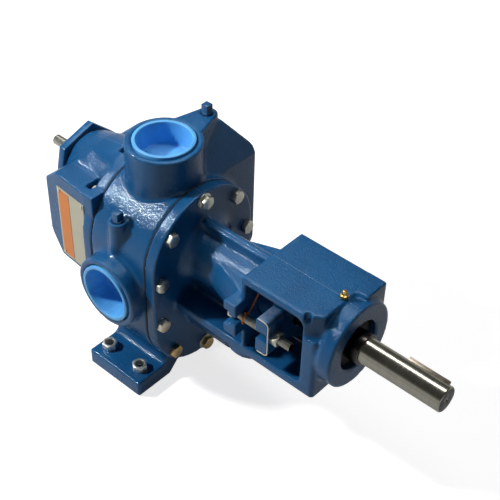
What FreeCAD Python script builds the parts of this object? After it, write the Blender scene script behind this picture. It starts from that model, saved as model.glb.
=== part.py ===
import FreeCAD, Part
import math
import os
import re
import Sketcher
from FreeCAD import Placement, Rotation, Vector

# A close-coupled helical gear pump on a foot. X runs along the shaft towards the drive end, Z is up,
# and -Y is the side with the side port. The origin is the middle of the foot's bolt pattern, on the
# base plane. All sizes are millimetres; sizes that can be set alone stand here once. Tops, bottoms and
# heights of the castings are measured from the drive shaft's line, which stands at shaft_height.
SIZES = {
    # gear pair and shafts
    "shaft_height": 177.8,
    "gear_centres": 76.2,
    "gear_teeth": 12,
    "gear_addendum": 5.1,
    "gear_dedendum": 6.3,
    "gear_pressure_angle": 25,
    "gear_helix_angle": 15,
    "gear_backlash": 0.6,
    "gear_tip_clearance": 0.3,
    "gear_end_clearance": 0.4,
    "gear_hub_clearance": 0.02,
    "gear_key_width": 6.35,
    "gear_key_length": 60,
    "journal_radius": 15.875,
    "journal_clearance": 0.05,
    "drive_end_radius": 14.2875,
    "drive_end_length": 96.5,
    "shaft_shoulder_stand_out": 9.6,
    "shaft_chamfer": 1.2,
    "centre_drill_radius": 2.4,
    "centre_drill_depth": 6,
    "coupling_key_width": 6.35,
    "coupling_key_length": 47,
    "coupling_key_setback": 6.5,
    "coupling_key_angle": 37,
    "key_fit": 0.02,
    # bushes
    "bush_wall": 5.5,
    "bush_length": 34,
    "bush_end_gap": 2,
    # gear case
    "case_front_reach": 43,
    "case_rear_reach": 40,
    "case_wall": 34.5,
    "cover_rim_gap": 0.6,
    "port_boss_radius": 43,
    "port_bore_radius": 35,
    "port_thread_depth": 32,
    "port_mouth_chamfer": 1.8,
    "port_throat_radius": 27,
    "top_throat_radius": 22,
    "top_port_height": 118.8,
    "side_port_reach": 97,
    "far_wall_stand_out": 31,
    "far_wall_thickness": 11,
    "far_wall_front": 35,
    "far_wall_rear": 38,
    "far_wall_top": 71.2,
    "far_wall_foot": 67.8,
    "far_wall_round": 14,
    "far_wall_sink": 8,
    "far_shoulder_drop": 10.6,
    "duct_half_width": 18,
    "duct_roof_drop": 36.6,
    "duct_floor_gap": 12,
    "gauge_boss_radius": 12,
    "gauge_boss_along": -2,
    "gauge_boss_inset": 41,
    "gauge_web_root": 25,
    "side_gauge_boss_radius": 11,
    "side_gauge_boss_inset": 8,
    "side_gauge_boss_height": 49.2,
    "gauge_hole_radius": 6.6,
    "gauge_hole_depth": 18,
    "gauge_vent_radius": 2.5,
    "plug_square": 8.8,
    "plug_head_height": 10,
    "plug_thread_length": 12,
    "plug_collar": 1,
    # foot
    "foot_front_reach": 43,
    "foot_rear_reach": 40,
    "foot_half_width": 95,
    "foot_thickness": 21,
    "foot_shoulder": 49,
    "foot_inner_edge": 43,
    "foot_arch_half_width": 30,
    "foot_arch_rise": 14,
    "foot_fillet": 9,
    "foot_bolt_along": 50.8,
    "foot_bolt_across": 152.4,
    "foot_hole_radius": 5.6,
    "foot_nut_flats": 16,
    "foot_nut_height": 8.5,
    "foot_nut_turn_step": 11,
    # joints between the castings
    "gasket_thickness": 0.8,
    "gasket_bolt_clearance": 0.5,
    "gasket_lip": 4,
    "flange_thickness": 14.2,
    "cover_flange_thickness": 13.7,
    "flange_bolt_margin": 10,
    "corner_bolt_angle": 42,
    "side_bolt_offset": 30,
    "bolt_radius": 4.7625,
    "bolt_hole_clearance": 0.3,
    "bolt_engagement": 13,
    "bolt_hole_spare": 2,
    "bolt_flats": 14.3,
    "bolt_turn_step": 13,
    "hex_crown_share": 0.95,
    "bolt_head_height": 6.2,
    "bolt_pocket_radius": 9.6,
    "bolt_pocket_depth": 8.5,
    "washer_radius": 9.6,
    "washer_thickness": 1.7,
    # bearing bracket
    "barrel_radius": 33,
    "barrel_fillet": 16,
    "barrel_root_margin": 2,
    "rib_width": 11,
    "rib_height": 44.2,
    "web_half_width": 17,
    "flank_length": 60,
    "flank_start_radius": 31,
    "flank_end_radius": 49,
    "flank_rise": 24,
    "flank_drop": 14,
    "floor_drop": 46.8,
    "floor_thickness": 11,
    "driven_boss_radius": 31,
    "driven_boss_length": 61,
    "driven_bore_end_wall": 5,
    "bracket_reach": 97,
    "box_length": 99,
    "box_half_width": 47.4,
    "box_top": 51.2,
    "box_roof": 9.5,
    "box_rear_wall": 5,
    "box_front_wall": 18,
    "box_corner_length": 18,
    "box_corner_half_width": 35,
    "box_corner_drop": 29,
    "box_round": 5,
    "box_edge_round": 2,
    "window_round": 9,
    "hub_radius": 49.2,
    "hub_length": 19.5,
    "hub_groove_depth": 2.5,
    "hub_groove_width": 3.5,
    "hub_opening_radius": 28.7,
    "hub_lip": 9,
    "far_lug_length": 13,
    "far_lug_inner": 15,
    "far_lug_depth": 29,
    "drain_boss_radius": 28,
    "drain_boss_setback": 5,
    "drain_boss_side": 19.5,
    "drain_boss_drop": 8,
    "drain_hole_radius": 5,
    "corner_pocket_radius": 3.6,
    "corner_pocket_length": 10,
    "corner_pocket_setback": 3,
    "corner_pocket_inset": 4,
    # shaft bearing
    "bearing_bore_radius": 17.5,
    "bearing_outer_radius": 36,
    "bearing_width": 17,
    "bearing_race_thickness": 5,
    "bearing_balls": 8,
    "bearing_ball_radius": 5.2,
    "bearing_play": 0.3,
    "bearing_shield_thickness": 1,
    "shield_inner_gap": 0.6,
    "shield_outer_gap": 0.1,
    "cage_thickness": 1.6,
    "snap_ring_thickness": 1.6,
    "snap_ring_height": 3.4,
    "snap_groove_depth": 1,
    "race_fit": 0.01,
    # stuffing box
    "packing_bore_radius": 25.4,
    "packing_depth": 48,
    "packing_ring_width": 9.5,
    "packing_rings": 4,
    "packing_fit": 0.1,
    "gland_nose_clearance": 0.08,
    "gland_shaft_clearance": 0.8,
    "gland_gap": 0.3,
    "gland_plate_setback": 26,
    "gland_plate_thickness": 15,
    "gland_ear_overhang": 9.7,
    "gland_half_height": 22,
    "gland_corner_round": 4,
    "gland_disc_radius": 31,
    "gland_bolt_offset": 49.3,
    "gland_bolt_stand_out": 14,
    "gland_slot_clearance": 0.6,
    "gland_clip_thickness": 1.6,
    "gland_clip_width": 24,
    "gland_clip_gap": 0.1,
    "gland_clip_setback": 2,
    "gland_lug_length": 17,
    "gland_lug_grip": 9,
    "gland_lug_half_height": 21.5,
    "gland_head_pocket": 10,
    "gland_bolt_turn": 20,
    "gland_nut_turn": 10,
    "gland_nut_height": 8.3,
    "gland_lug_overhang": 12.4,
    "tie_wire_radius": 1,
    "tie_wire_height": 30,
    "tie_wire_setback": 5,
    "tie_wire_bend": 22.2,
    # relief valve in the cover
    "cover_length": 86,
    "cover_top": 57.2,
    "cover_bottom": 63.8,
    "cover_top_cut_along": 20,
    "cover_top_cut_down": 17,
    "cover_low_cut_along": 18,
    "cover_low_cut_up": 29,
    "cover_side_inset": 6,
    "cover_side_taper": 6,
    "valve_height": 28.2,
    "cover_driven_boss_length": 42,
    "valve_rim_radius": 39,
    "valve_waist_length": 31,
    "valve_waist_radius": 46,
    "valve_root_radius": 52,
    "valve_rim_round": 3,
    "valve_chamber_radius": 25,
    "valve_chamber_length": 44,
    "valve_seat_radius": 10,
    "valve_seat_depth": 3,
    "valve_feed_radius": 7,
    "valve_feed_rise": 37,
    "valve_port_groove_width": 9,
    "valve_port_groove_depth": 6,
    "valve_port_groove_sweep": 140,
    "valve_return_radius": 5.5,
    "valve_return_side": 15,
    "valve_return_setback": 25,
    "valve_bump_radius": 11,
    "valve_bump_length": 24,
    "valve_bump_setback": 51,
    "valve_bump_side": 31,
    "valve_bump_sink": 6,
    "poppet_radius": 17,
    "poppet_skirt": 9,
    "poppet_pilot": 2.5,
    "poppet_hollow_radius": 7,
    "poppet_hollow_depth": 4,
    "poppet_seat_gap": 0.02,
    "poppet_play": 0.3,
    "cap_flats": 81,
    "cap_turn": 12.6,
    "cap_plate_thickness": 9.2,
    "cap_neck_radius": 30,
    "cap_thread_length": 12,
    "cap_bore_radius": 19,
    "cap_gasket_thickness": 0.8,
    "cap_gasket_inset": 1,
    "screw_radius": 6.35,
    "screw_stand_out": 49,
    "screw_clearance": 0.05,
    "screw_slot_width": 2,
    "screw_slot_depth": 3,
    "jam_nut_flats": 19,
    "jam_nut_turn": -8,
    "jam_nut_height": 8,
    "spring_radius": 14,
    "spring_wire_radius": 2.2,
    "spring_turns": 4,
    "spring_end_gap": 0.05,
    "guide_thickness": 4,
    "guide_gap": 0.05,
    "guide_pilot_radius": 9,
    "guide_pilot_length": 6,
    "guide_side_play": 1,
    "guide_setback": 2,
    # port caps, grease fitting and label
    "cap_rim_stand_out": 1.6,
    "cap_cup_depth": 27,
    "cap_wall": 4.2,
    "cap_base_thickness": 3,
    "cap_play": 0.3,
    "cap_taper": 1.6,
    "grease_fitting_setback": 5,
    "grease_hex_flats": 8,
    "grease_hex_height": 4,
    "grease_nipple_radius": 3,
    "grease_nipple_height": 9,
    "grease_tip_radius": 2,
    "grease_stem_length": 6,
    "label_width": 48.8,
    "label_height": 98,
    "label_setback": 0.7,
    "label_rise": 6,
    "label_thickness": 0.8,
    "label_screw_radius": 2,
    "label_screw_height": 1,
    "label_screw_inset": 4,
    "label_gap": 0.02,
}

# Places worked out from the sizes.
PLACES = {
    "driven_height": "shaft_height - gear_centres",
    "middle_height": "shaft_height - gear_centres / 2",
    "pitch_radius": "gear_centres / 2",
    "tip_radius": "gear_centres / 2 + gear_addendum",
    "chamber_radius": "tip_radius + gear_tip_clearance",
    "case_radius": "chamber_radius + case_wall",
    "bush_radius": "journal_radius + bush_wall",
    # gear case and foot
    "case_length": "case_front_reach + case_rear_reach",
    "case_front": "case_front_reach",
    "case_rear": "-case_rear_reach",
    "gear_middle": "(case_front_reach - case_rear_reach) / 2",
    "gear_length": "case_length + 2 * gasket_thickness - 2 * gear_end_clearance",
    "top_port_level": "shaft_height + top_port_height",
    "far_wall_reach": "case_radius + far_wall_stand_out",
    "far_wall_level": "shaft_height + far_wall_top",
    "far_wall_low_level": "shaft_height - far_wall_foot",
    "shoulder_level": "top_port_level - far_shoulder_drop",
    "duct_roof_level": "top_port_level - duct_roof_drop",
    "gauge_boss_reach": "far_wall_reach - gauge_boss_inset",
    "side_gauge_boss_reach": "case_radius - side_gauge_boss_inset",
    "side_gauge_level": "shaft_height + side_gauge_boss_height",
    "foot_neck_level": "driven_height - case_radius / 2",
    "flange_bolt_circle": "case_radius - flange_bolt_margin",
    # bearing bracket
    "bracket_start": "case_front_reach + gasket_thickness",
    "flange_face": "bracket_start + flange_thickness",
    "box_rear": "flange_face + bracket_reach",
    "box_front": "box_rear + box_length",
    "window_rear": "box_rear + box_rear_wall",
    "window_front": "box_front - box_front_wall",
    "box_corner_start": "box_front - box_corner_length",
    "box_level": "shaft_height + box_top",
    "window_level": "box_level - box_roof",
    "floor_level": "shaft_height - floor_drop",
    "flank_start": "box_rear - flank_length",
    "hub_face": "box_front + hub_length",
    "far_lug_front": "box_front + far_lug_length",
    "far_lug_level": "box_level - far_lug_depth",
    "drain_boss_place": "box_rear - drain_boss_setback",
    "grease_fitting_place": "box_front - grease_fitting_setback",
    # shaft and bearing
    "shaft_shoulder": "hub_face + shaft_shoulder_stand_out",
    "shaft_end": "shaft_shoulder + drive_end_length",
    "bearing_front": "hub_face - hub_lip",
    "bearing_rear": "bearing_front - bearing_width",
    "bearing_ball_circle": "(bearing_bore_radius + bearing_outer_radius) / 2",
    # stuffing box and gland
    "packing_start": "window_rear - packing_depth",
    "packing_end": "packing_start + packing_rings * packing_ring_width",
    "gland_nose_start": "packing_end + gland_gap",
    "gland_plate_start": "window_rear + gland_plate_setback",
    "gland_plate_end": "gland_plate_start + gland_plate_thickness",
    "gland_half_width": "gland_bolt_offset + gland_ear_overhang",
    "gland_lug_start": "window_rear - gland_lug_length",
    "gland_lug_seat": "window_rear - gland_lug_grip",
    "gland_lug_reach": "gland_bolt_offset + gland_lug_overhang",
    "gland_nut_start": "gland_plate_end + gland_clip_gap + gland_clip_thickness",
    "gland_bolt_length": "gland_nut_start + gland_nut_height + gland_bolt_stand_out - gland_lug_seat",
    # cover and relief valve
    "cover_start": "-case_rear_reach - gasket_thickness",
    "cover_flange_back": "cover_start - cover_flange_thickness",
    "cover_rear": "case_rear_reach + cover_length",
    "cover_level": "shaft_height + cover_top",
    "cover_low_level": "shaft_height - cover_bottom",
    "cover_half_width_front": "case_radius - cover_side_inset",
    "cover_half_width_rear": "cover_half_width_front - cover_side_taper",
    "valve_level": "shaft_height + valve_height",
    "valve_rim": "cover_rear",
    "valve_waist": "valve_rim - valve_waist_length",
    "valve_chamber_front": "valve_rim - valve_chamber_length",
    "valve_return_back": "valve_rim - valve_return_setback",
    "valve_bump_front": "valve_rim - valve_bump_setback",
    "cap_plate_front": "-valve_rim - cap_gasket_thickness",
    "cap_plate_back": "cap_plate_front - cap_plate_thickness",
    "poppet_front": "-valve_chamber_front - poppet_seat_gap",
    "poppet_back": "poppet_front - poppet_skirt",
    "guide_back": "-valve_rim + guide_setback",
    "guide_face": "guide_back + guide_thickness",
    "label_front": "label_setback - cover_flange_back",
    "label_level": "cover_low_level + label_rise",
}

SHEET_OF = {}
NODES = []
WORD = re.compile(r"[a-z][a-z_0-9]*")

doc = FreeCAD.newDocument("HelicalGearPump")


def fill_sheet(name, entries, as_formula):
    """Writes one size to a row of a sheet and gives its cell the size's own name."""
    sheet = doc.addObject("Spreadsheet::Sheet", name)
    for row, (alias, entry) in enumerate(entries.items(), start=1):
        sheet.set(f"A{row}", alias.replace("_", " "))
        sheet.set(f"B{row}", "=" + formula(entry, name) if as_formula else str(entry))
        sheet.setAlias(f"B{row}", alias)
        SHEET_OF[alias] = name
    doc.recompute()
    return sheet


def formula(text, home=None):
    """Puts the sheet's name before each size in a formula, unless the formula stands in that sheet."""
    def named(match):
        word = match.group(0)
        sheet = SHEET_OF.get(word)
        return word if sheet in (None, home) else f"{sheet}.{word}"
    return WORD.sub(named, str(text))


def value(text):
    """The number that a formula of sizes comes to."""
    return float(places.evalExpression(formula(text)))


def bind(thing, entries):
    """Ties each property of a thing to its formula."""
    for prop, text in entries.items():
        thing.setExpression(prop, formula(text))


def put(thing, place, turn=None):
    """Turns a thing and ties its position to three formulas."""
    thing.Placement = Placement(Vector(*[value(text) for text in place]), turn or Rotation())
    bind(thing, {f"Placement.Base.{axis}": text for axis, text in zip("xyz", place)})
    return thing


TOWARDS = {
    "+x": Rotation(Vector(0, 1, 0), 90),
    "-x": Rotation(Vector(0, 1, 0), -90),
    "+y": Rotation(Vector(1, 0, 0), -90),
    "-y": Rotation(Vector(1, 0, 0), 90),
    "+z": Rotation(),
}


def rod(name, radius, length, place, way="+x"):
    """A round bar that starts at a place and runs one way."""
    thing = doc.addObject("Part::Cylinder", name)
    bind(thing, {"Radius": radius, "Height": length})
    return put(thing, place, TOWARDS[way])


def cone(name, first, second, length, place, way="+x"):
    """A tapered bar from its first radius to its second."""
    thing = doc.addObject("Part::Cone", name)
    bind(thing, {"Radius1": first, "Radius2": second, "Height": length})
    return put(thing, place, TOWARDS[way])


def block(name, low, high):
    """A block between its low corner and its high corner."""
    thing = doc.addObject("Part::Box", name)
    spans = [f"({top}) - ({bottom})" for bottom, top in zip(low, high)]
    bind(thing, dict(zip(("Length", "Width", "Height"), spans)))
    return put(thing, low)


def hexagon(name, flats, length, place, way="+x", turn="0"):
    """A six-sided bar, measured across its flats."""
    thing = doc.addObject("Part::Prism", name)
    thing.Polygon = 6
    bind(thing, {"Circumradius": f"({flats}) / sqrt(3)", "Height": length})
    return put(thing, place, TOWARDS[way].multiply(Rotation(Vector(0, 0, 1), value(turn))))


def crowned(name, flats, length, place, way="+x", turn="0"):
    """A six-sided bar whose far end has its corners turned off at 30 degrees, as on a nut or a bolt head."""
    top = f"({flats}) / 2 * hex_crown_share"
    thing = doc.addObject("Part::Common", name)
    thing.Base = hexagon(name + "_bar", flats, length, place, way, turn)
    thing.Tool = cone(name + "_crown", f"{top} + ({length}) * sqrt(3)", top, length, place, way)
    return thing


def ball(name, radius, place):
    """A sphere about a place."""
    thing = doc.addObject("Part::Sphere", name)
    bind(thing, {"Radius": radius})
    return put(thing, place)


def joined(name, things):
    """One solid out of several that overlap."""
    thing = doc.addObject("Part::MultiFuse", name)
    thing.Shapes = things
    thing.Refine = True
    return thing


def cut(name, base, tools):
    """A base with the tools taken out of it."""
    thing = doc.addObject("Part::Cut", name)
    thing.Base = base
    thing.Tool = tools[0] if len(tools) == 1 else joined(name + "_tools", tools)
    thing.Refine = True
    return thing


def grouped(name, things):
    """Separate solids that stay side by side in one node."""
    thing = doc.addObject("Part::Compound", name)
    thing.Links = things
    return thing


def node(thing, label):
    """Gives a finished piece its own name and puts it on the list to write."""
    thing.Label = label
    NODES.append(thing)
    return thing


def sketch_on(body, role, offset="0"):
    """A sketch on one of the body's own origin planes, moved along the plane's normal."""
    plane = [entry for entry in body.Origin.OriginFeatures if entry.Role == role][0]
    sketch = body.newObject("Sketcher::SketchObject", body.Name + "_sketch")
    sketch.AttachmentSupport = [(plane, "")]
    sketch.MapMode = "FlatFace"
    bind(sketch, {"AttachmentOffset.Base.z": offset})
    return sketch


def hold(sketch, kind, geometry, point, text):
    """Ties one coordinate of a sketch point to a formula."""
    number = sketch.addConstraint(Sketcher.Constraint(kind, -1, 1, geometry, point, value(text)))
    sketch.setExpression(f"Constraints[{number}]", formula(text))


def polygon(sketch, points):
    """A closed outline of straight lines through points, each held by two formulas."""
    corners = [Vector(value(across), value(up), 0) for across, up in points]
    first = sketch.GeometryCount
    count = len(points)
    for start, end in zip(corners, corners[1:] + corners[:1]):
        sketch.addGeometry(Part.LineSegment(start, end), False)
    for index, (across, up) in enumerate(points):
        sketch.addConstraint(
            Sketcher.Constraint("Coincident", first + index, 2, first + (index + 1) % count, 1))
        hold(sketch, "DistanceX", first + index, 1, across)
        hold(sketch, "DistanceY", first + index, 1, up)


def circle(sketch, radius, across, up):
    """A circle held by its centre and its radius."""
    place = Vector(value(across), value(up), 0)
    number = sketch.addGeometry(Part.Circle(place, Vector(0, 0, 1), value(radius)), False)
    hold(sketch, "DistanceX", number, 3, across)
    hold(sketch, "DistanceY", number, 3, up)
    held = sketch.addConstraint(Sketcher.Constraint("Radius", number, value(radius)))
    sketch.setExpression(f"Constraints[{held}]", formula(radius))


def stadium(sketch, radius):
    """Two half circles about the two gear axes, joined by straight sides."""
    reach = value(radius)
    high = Vector(0, value("shaft_height"), 0)
    low = Vector(0, value("driven_height"), 0)
    side = Vector(reach, 0, 0)
    up = Vector(0, 0, 1)
    first = sketch.GeometryCount
    sketch.addGeometry(Part.ArcOfCircle(Part.Circle(high, up, reach), 0, math.pi), False)
    sketch.addGeometry(Part.LineSegment(high - side, low - side), False)
    sketch.addGeometry(Part.ArcOfCircle(Part.Circle(low, up, reach), math.pi, 2 * math.pi), False)
    sketch.addGeometry(Part.LineSegment(low + side, high + side), False)
    for index, (this_end, next_end) in enumerate(((2, 1), (2, 1), (2, 1), (2, 1))):
        sketch.addConstraint(
            Sketcher.Constraint("Tangent", first + index, this_end, first + (index + 1) % 4, next_end))
    hold(sketch, "DistanceX", first, 3, "0")
    hold(sketch, "DistanceY", first, 3, "shaft_height")
    hold(sketch, "DistanceX", first + 2, 3, "0")
    hold(sketch, "DistanceY", first + 2, 3, "driven_height")
    held = sketch.addConstraint(Sketcher.Constraint("Radius", first, reach))
    sketch.setExpression(f"Constraints[{held}]", formula(radius))


def padded(name, role, start, length, *outlines):
    """A body whose sketch, drawn by the outlines, is padded along its plane's normal."""
    body = doc.addObject("PartDesign::Body", name)
    sketch = sketch_on(body, role, start)
    for outline, sizes in outlines:
        outline(sketch, *sizes)
    pad = body.newObject("PartDesign::Pad", name + "_pad")
    pad.Profile = sketch
    bind(pad, {"Length": length})
    body.Tip = pad
    return body


def rounded(body, radius, wanted):
    """Rounds the edges of a body that pass the test, which gets a point half-way along and the direction."""
    doc.recompute()
    base = body.Tip
    names = []
    for number, edge in enumerate(base.Shape.Edges, start=1):
        middle = edge.valueAt((edge.FirstParameter + edge.LastParameter) / 2)
        direction = edge.tangentAt(edge.FirstParameter)
        if wanted(middle, direction):
            names.append(f"Edge{number}")
    fillet = body.newObject("PartDesign::Fillet", body.Name + "_fillet")
    fillet.Base = (base, names)
    bind(fillet, {"Radius": radius})
    body.Tip = fillet
    return body


def turned(name, points, height="shaft_height"):
    """A piece turned about a line along X at a height, from points of place and radius."""
    body = doc.addObject("PartDesign::Body", name)
    put(body, ("0", "0", height))
    sketch = sketch_on(body, "XY_Plane")
    polygon(sketch, points)
    turn = body.newObject("PartDesign::Revolution", name + "_turn")
    turn.Profile = sketch
    turn.ReferenceAxis = (sketch, ["H_Axis"])
    body.Tip = turn
    return body


def ring(name, start, end, inner, outer, height="shaft_height"):
    """A plain ring about a line along X."""
    return turned(name, [(start, inner), (end, inner), (end, outer), (start, outer)], height)


def flange_places(whole=True):
    """Where a flange's bolts stand: top and bottom, four corners and four on the sides.

    The rear cover has no upper pair on its sides, where its body stands in the way."""
    across = "flange_bolt_circle * cos(corner_bolt_angle)"
    rise = "flange_bolt_circle * sin(corner_bolt_angle)"
    spots = [("0", "shaft_height + flange_bolt_circle"), ("0", "driven_height - flange_bolt_circle")]
    for side in ("", "-"):
        spots.append((side + across, "shaft_height + " + rise))
        spots.append((side + across, "driven_height - " + rise))
        spots.append((side + "flange_bolt_circle", "middle_height - side_bolt_offset"))
        if whole:
            spots.append((side + "flange_bolt_circle", "middle_height + side_bolt_offset"))
    return spots


def flange_holes(name, start, length, radius="bolt_radius + bolt_hole_clearance", whole=True):
    """Round holes on the flange's bolt places."""
    return [rod(f"{name}_{index}", radius, length, (start, across, up))
            for index, (across, up) in enumerate(flange_places(whole))]


def make_gear_case():
    """The casting between the covers: gear chambers, two ports, far-side duct, gauge bosses and foot.

    The four nuts that stand on the foot are made here too, with open holes."""
    shell = padded("case_shell", "YZ_Plane", "case_rear", "case_length", (stadium, ("case_radius",)))
    top_boss = rod("top_boss", "port_boss_radius", "top_port_height",
                   ("0", "0", "shaft_height"), "+z")
    side_boss = rod("side_boss", "port_boss_radius", "side_port_reach", ("0", "0", "middle_height"), "-y")
    gauge_boss = rod("gauge_boss", "gauge_boss_radius", "top_port_height",
                     ("gauge_boss_along", "gauge_boss_reach", "shaft_height"), "+z")
    web = padded("gauge_web", "XY_Plane", "far_wall_level", "top_port_level - far_wall_level", (polygon, ([
        ("gauge_boss_along - gauge_boss_radius", "gauge_boss_reach"),
        ("gauge_boss_along + gauge_boss_radius", "gauge_boss_reach"),
        ("gauge_web_root", "port_boss_radius / 2"), ("-gauge_web_root", "port_boss_radius / 2")],)))
    side_gauge = rod("side_gauge", "side_gauge_boss_radius", "side_gauge_level - middle_height",
                     ("gauge_boss_along", "-side_gauge_boss_reach", "middle_height"), "+z")
    far_wall = padded("far_wall", "YZ_Plane", "-far_wall_rear", "far_wall_rear + far_wall_front", (polygon, ([
        ("0", "shoulder_level"), ("gauge_boss_reach + gauge_boss_radius", "shoulder_level"),
        ("far_wall_reach", "far_wall_level"), ("far_wall_reach", "far_wall_low_level"),
        ("case_radius - far_wall_thickness", "driven_height - far_wall_thickness"),
        ("0", "driven_height - far_wall_thickness")],)))
    rounded(far_wall, "far_wall_round", lambda middle, way:
            abs(way.x) > 0.9 and middle.y > value("far_wall_reach") - 1)
    taper = padded("far_wall_taper", "XZ_Plane", "-far_wall_reach - 1", "far_wall_reach + 1", (polygon, ([
        ("-far_wall_rear", "0"), ("far_wall_front", "0"), ("far_wall_front", "far_wall_level - far_wall_sink"),
        ("gauge_boss_along + gauge_boss_radius", "shoulder_level"),
        ("gauge_boss_along - gauge_boss_radius", "shoulder_level"),
        ("-far_wall_rear", "far_wall_level - far_wall_sink")],)))
    chamber = doc.addObject("Part::Common", "far_chamber")
    chamber.Base = far_wall
    chamber.Tool = taper
    foot = padded("foot", "YZ_Plane", "-foot_rear_reach", "foot_rear_reach + foot_front_reach", (polygon, ([
        ("-foot_half_width", "0"), ("-foot_inner_edge", "0"), ("-foot_arch_half_width", "foot_arch_rise"),
        ("foot_arch_half_width", "foot_arch_rise"), ("foot_inner_edge", "0"), ("foot_half_width", "0"),
        ("foot_half_width", "foot_thickness"), ("foot_shoulder", "foot_thickness"),
        ("foot_shoulder", "foot_neck_level"), ("-foot_shoulder", "foot_neck_level"),
        ("-foot_shoulder", "foot_thickness"), ("-foot_half_width", "foot_thickness")],)))
    rounded(foot, "foot_fillet", lambda middle, way:
            abs(way.x) > 0.9 and abs(abs(middle.y) - value("foot_shoulder")) < 1
            and abs(middle.z - value("foot_thickness")) < 1)
    solid = joined("case_casting",
                   [shell, top_boss, side_boss, gauge_boss, web, side_gauge, chamber, foot])

    rear_trim = padded("rear_trim", "YZ_Plane", "case_rear - port_boss_radius", "port_boss_radius",
                       (stadium, ("case_radius + cover_rim_gap",)))
    throat = "port_throat_radius"
    duct_outer = "far_wall_reach - far_wall_thickness"
    duct_floor = "shaft_height + chamber_radius + duct_floor_gap"
    mouth = "port_bore_radius + port_mouth_chamfer"
    tools = [
        rear_trim,
        rod("drive_chamber", "chamber_radius", "case_length", ("case_rear", "0", "shaft_height")),
        rod("driven_chamber", "chamber_radius", "case_length", ("case_rear", "0", "driven_height")),
        rod("inlet_throat", throat, "side_port_reach - journal_radius",
            ("0", "-journal_radius", "middle_height"), "-y"),
        rod("outlet_throat", throat, duct_outer + " - journal_radius",
            ("0", "journal_radius", "middle_height"), "+y"),
        rod("side_thread", "port_bore_radius", "port_thread_depth",
            ("0", "port_thread_depth - side_port_reach", "middle_height"), "-y"),
        cone("side_mouth", "port_bore_radius", mouth, "port_mouth_chamfer",
             ("0", "port_mouth_chamfer - side_port_reach", "middle_height"), "-y"),
        rod("top_thread", "port_bore_radius", "port_thread_depth",
            ("0", "0", "top_port_level - port_thread_depth"), "+z"),
        cone("top_mouth", "port_bore_radius", mouth, "port_mouth_chamfer",
             ("0", "0", "top_port_level - port_mouth_chamfer"), "+z"),
        rod("top_throat", "top_throat_radius", f"top_port_level - port_thread_depth - ({duct_floor})",
            ("0", "0", duct_floor), "+z"),
        block("duct_across", ("-duct_half_width", "0", duct_floor),
              ("duct_half_width", duct_outer, "duct_roof_level")),
        block("duct_down", ("-duct_half_width", "chamber_radius + duct_floor_gap",
                            "middle_height - port_throat_radius / 2"),
              ("duct_half_width", duct_outer, "duct_roof_level")),
        rod("gauge_hole", "gauge_hole_radius", "gauge_hole_depth",
            ("gauge_boss_along", "gauge_boss_reach", "top_port_level - gauge_hole_depth"), "+z"),
        rod("gauge_vent", "gauge_vent_radius", "top_port_level - duct_roof_level",
            ("gauge_boss_along", "gauge_boss_reach", "duct_roof_level"), "+z"),
        rod("side_gauge_hole", "gauge_hole_radius", "gauge_hole_depth",
            ("gauge_boss_along", "-side_gauge_boss_reach", "side_gauge_level - gauge_hole_depth"), "+z"),
        rod("side_gauge_vent", "gauge_vent_radius", "side_gauge_level - middle_height",
            ("gauge_boss_along", "-side_gauge_boss_reach", "middle_height"), "+z"),
    ]
    nuts = []
    depth = "bolt_engagement + bolt_hole_spare"
    tools += flange_holes("case_front_hole", f"case_front - ({depth})", depth, "bolt_radius")
    tools += flange_holes("case_rear_hole", "case_rear", depth, "bolt_radius", False)
    for along in (-1, 1):
        for across in (-1, 1):
            spot = (f"{along} * foot_bolt_along / 2", f"{across} * foot_bolt_across / 2")
            number = len(nuts)
            tools.append(rod(f"foot_hole_{number}", "foot_hole_radius", "foot_thickness + 2",
                             spot + ("-1",), "+z"))
            nut = crowned(f"foot_nut_hex_{number}", "foot_nut_flats", "foot_nut_height",
                          spot + ("foot_thickness",), "+z", f"{number} * foot_nut_turn_step")
            nut_hole = rod(f"foot_nut_hole_{number}", "foot_hole_radius", "foot_nut_height",
                           spot + ("foot_thickness",), "+z")
            nuts.append(cut(f"foot_nut_{number}", nut, [nut_hole]))
    node(cut("gear_case_cut", solid, tools), "gear_case")
    node(grouped("foot_nut_set", nuts), "foot_nuts")


def make_gasket(label, start, whole):
    """A sheet gasket of the flange's outline, open over both gear chambers, with bolt holes."""
    outlines = [(stadium, ("case_radius",)), (stadium, ("chamber_radius + gasket_lip",))]
    for across, up in flange_places(whole):
        outlines.append((circle, ("bolt_radius + gasket_bolt_clearance", across, up)))
    node(padded(label + "_sheet", "YZ_Plane", start, "gasket_thickness", *outlines), label)


def hex_bolt(name, length, place, way, turn):
    """A hexagon head bolt whose seat is at a place; the shank runs one way and the head the other."""
    back = {"+x": "-x", "-x": "+x"}[way]
    head = crowned(name + "_head", "bolt_flats", "bolt_head_height", place, back, turn)
    shank = rod(name + "_shank", "bolt_radius", length, place, way)
    return joined(name, [head, shank])


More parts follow.
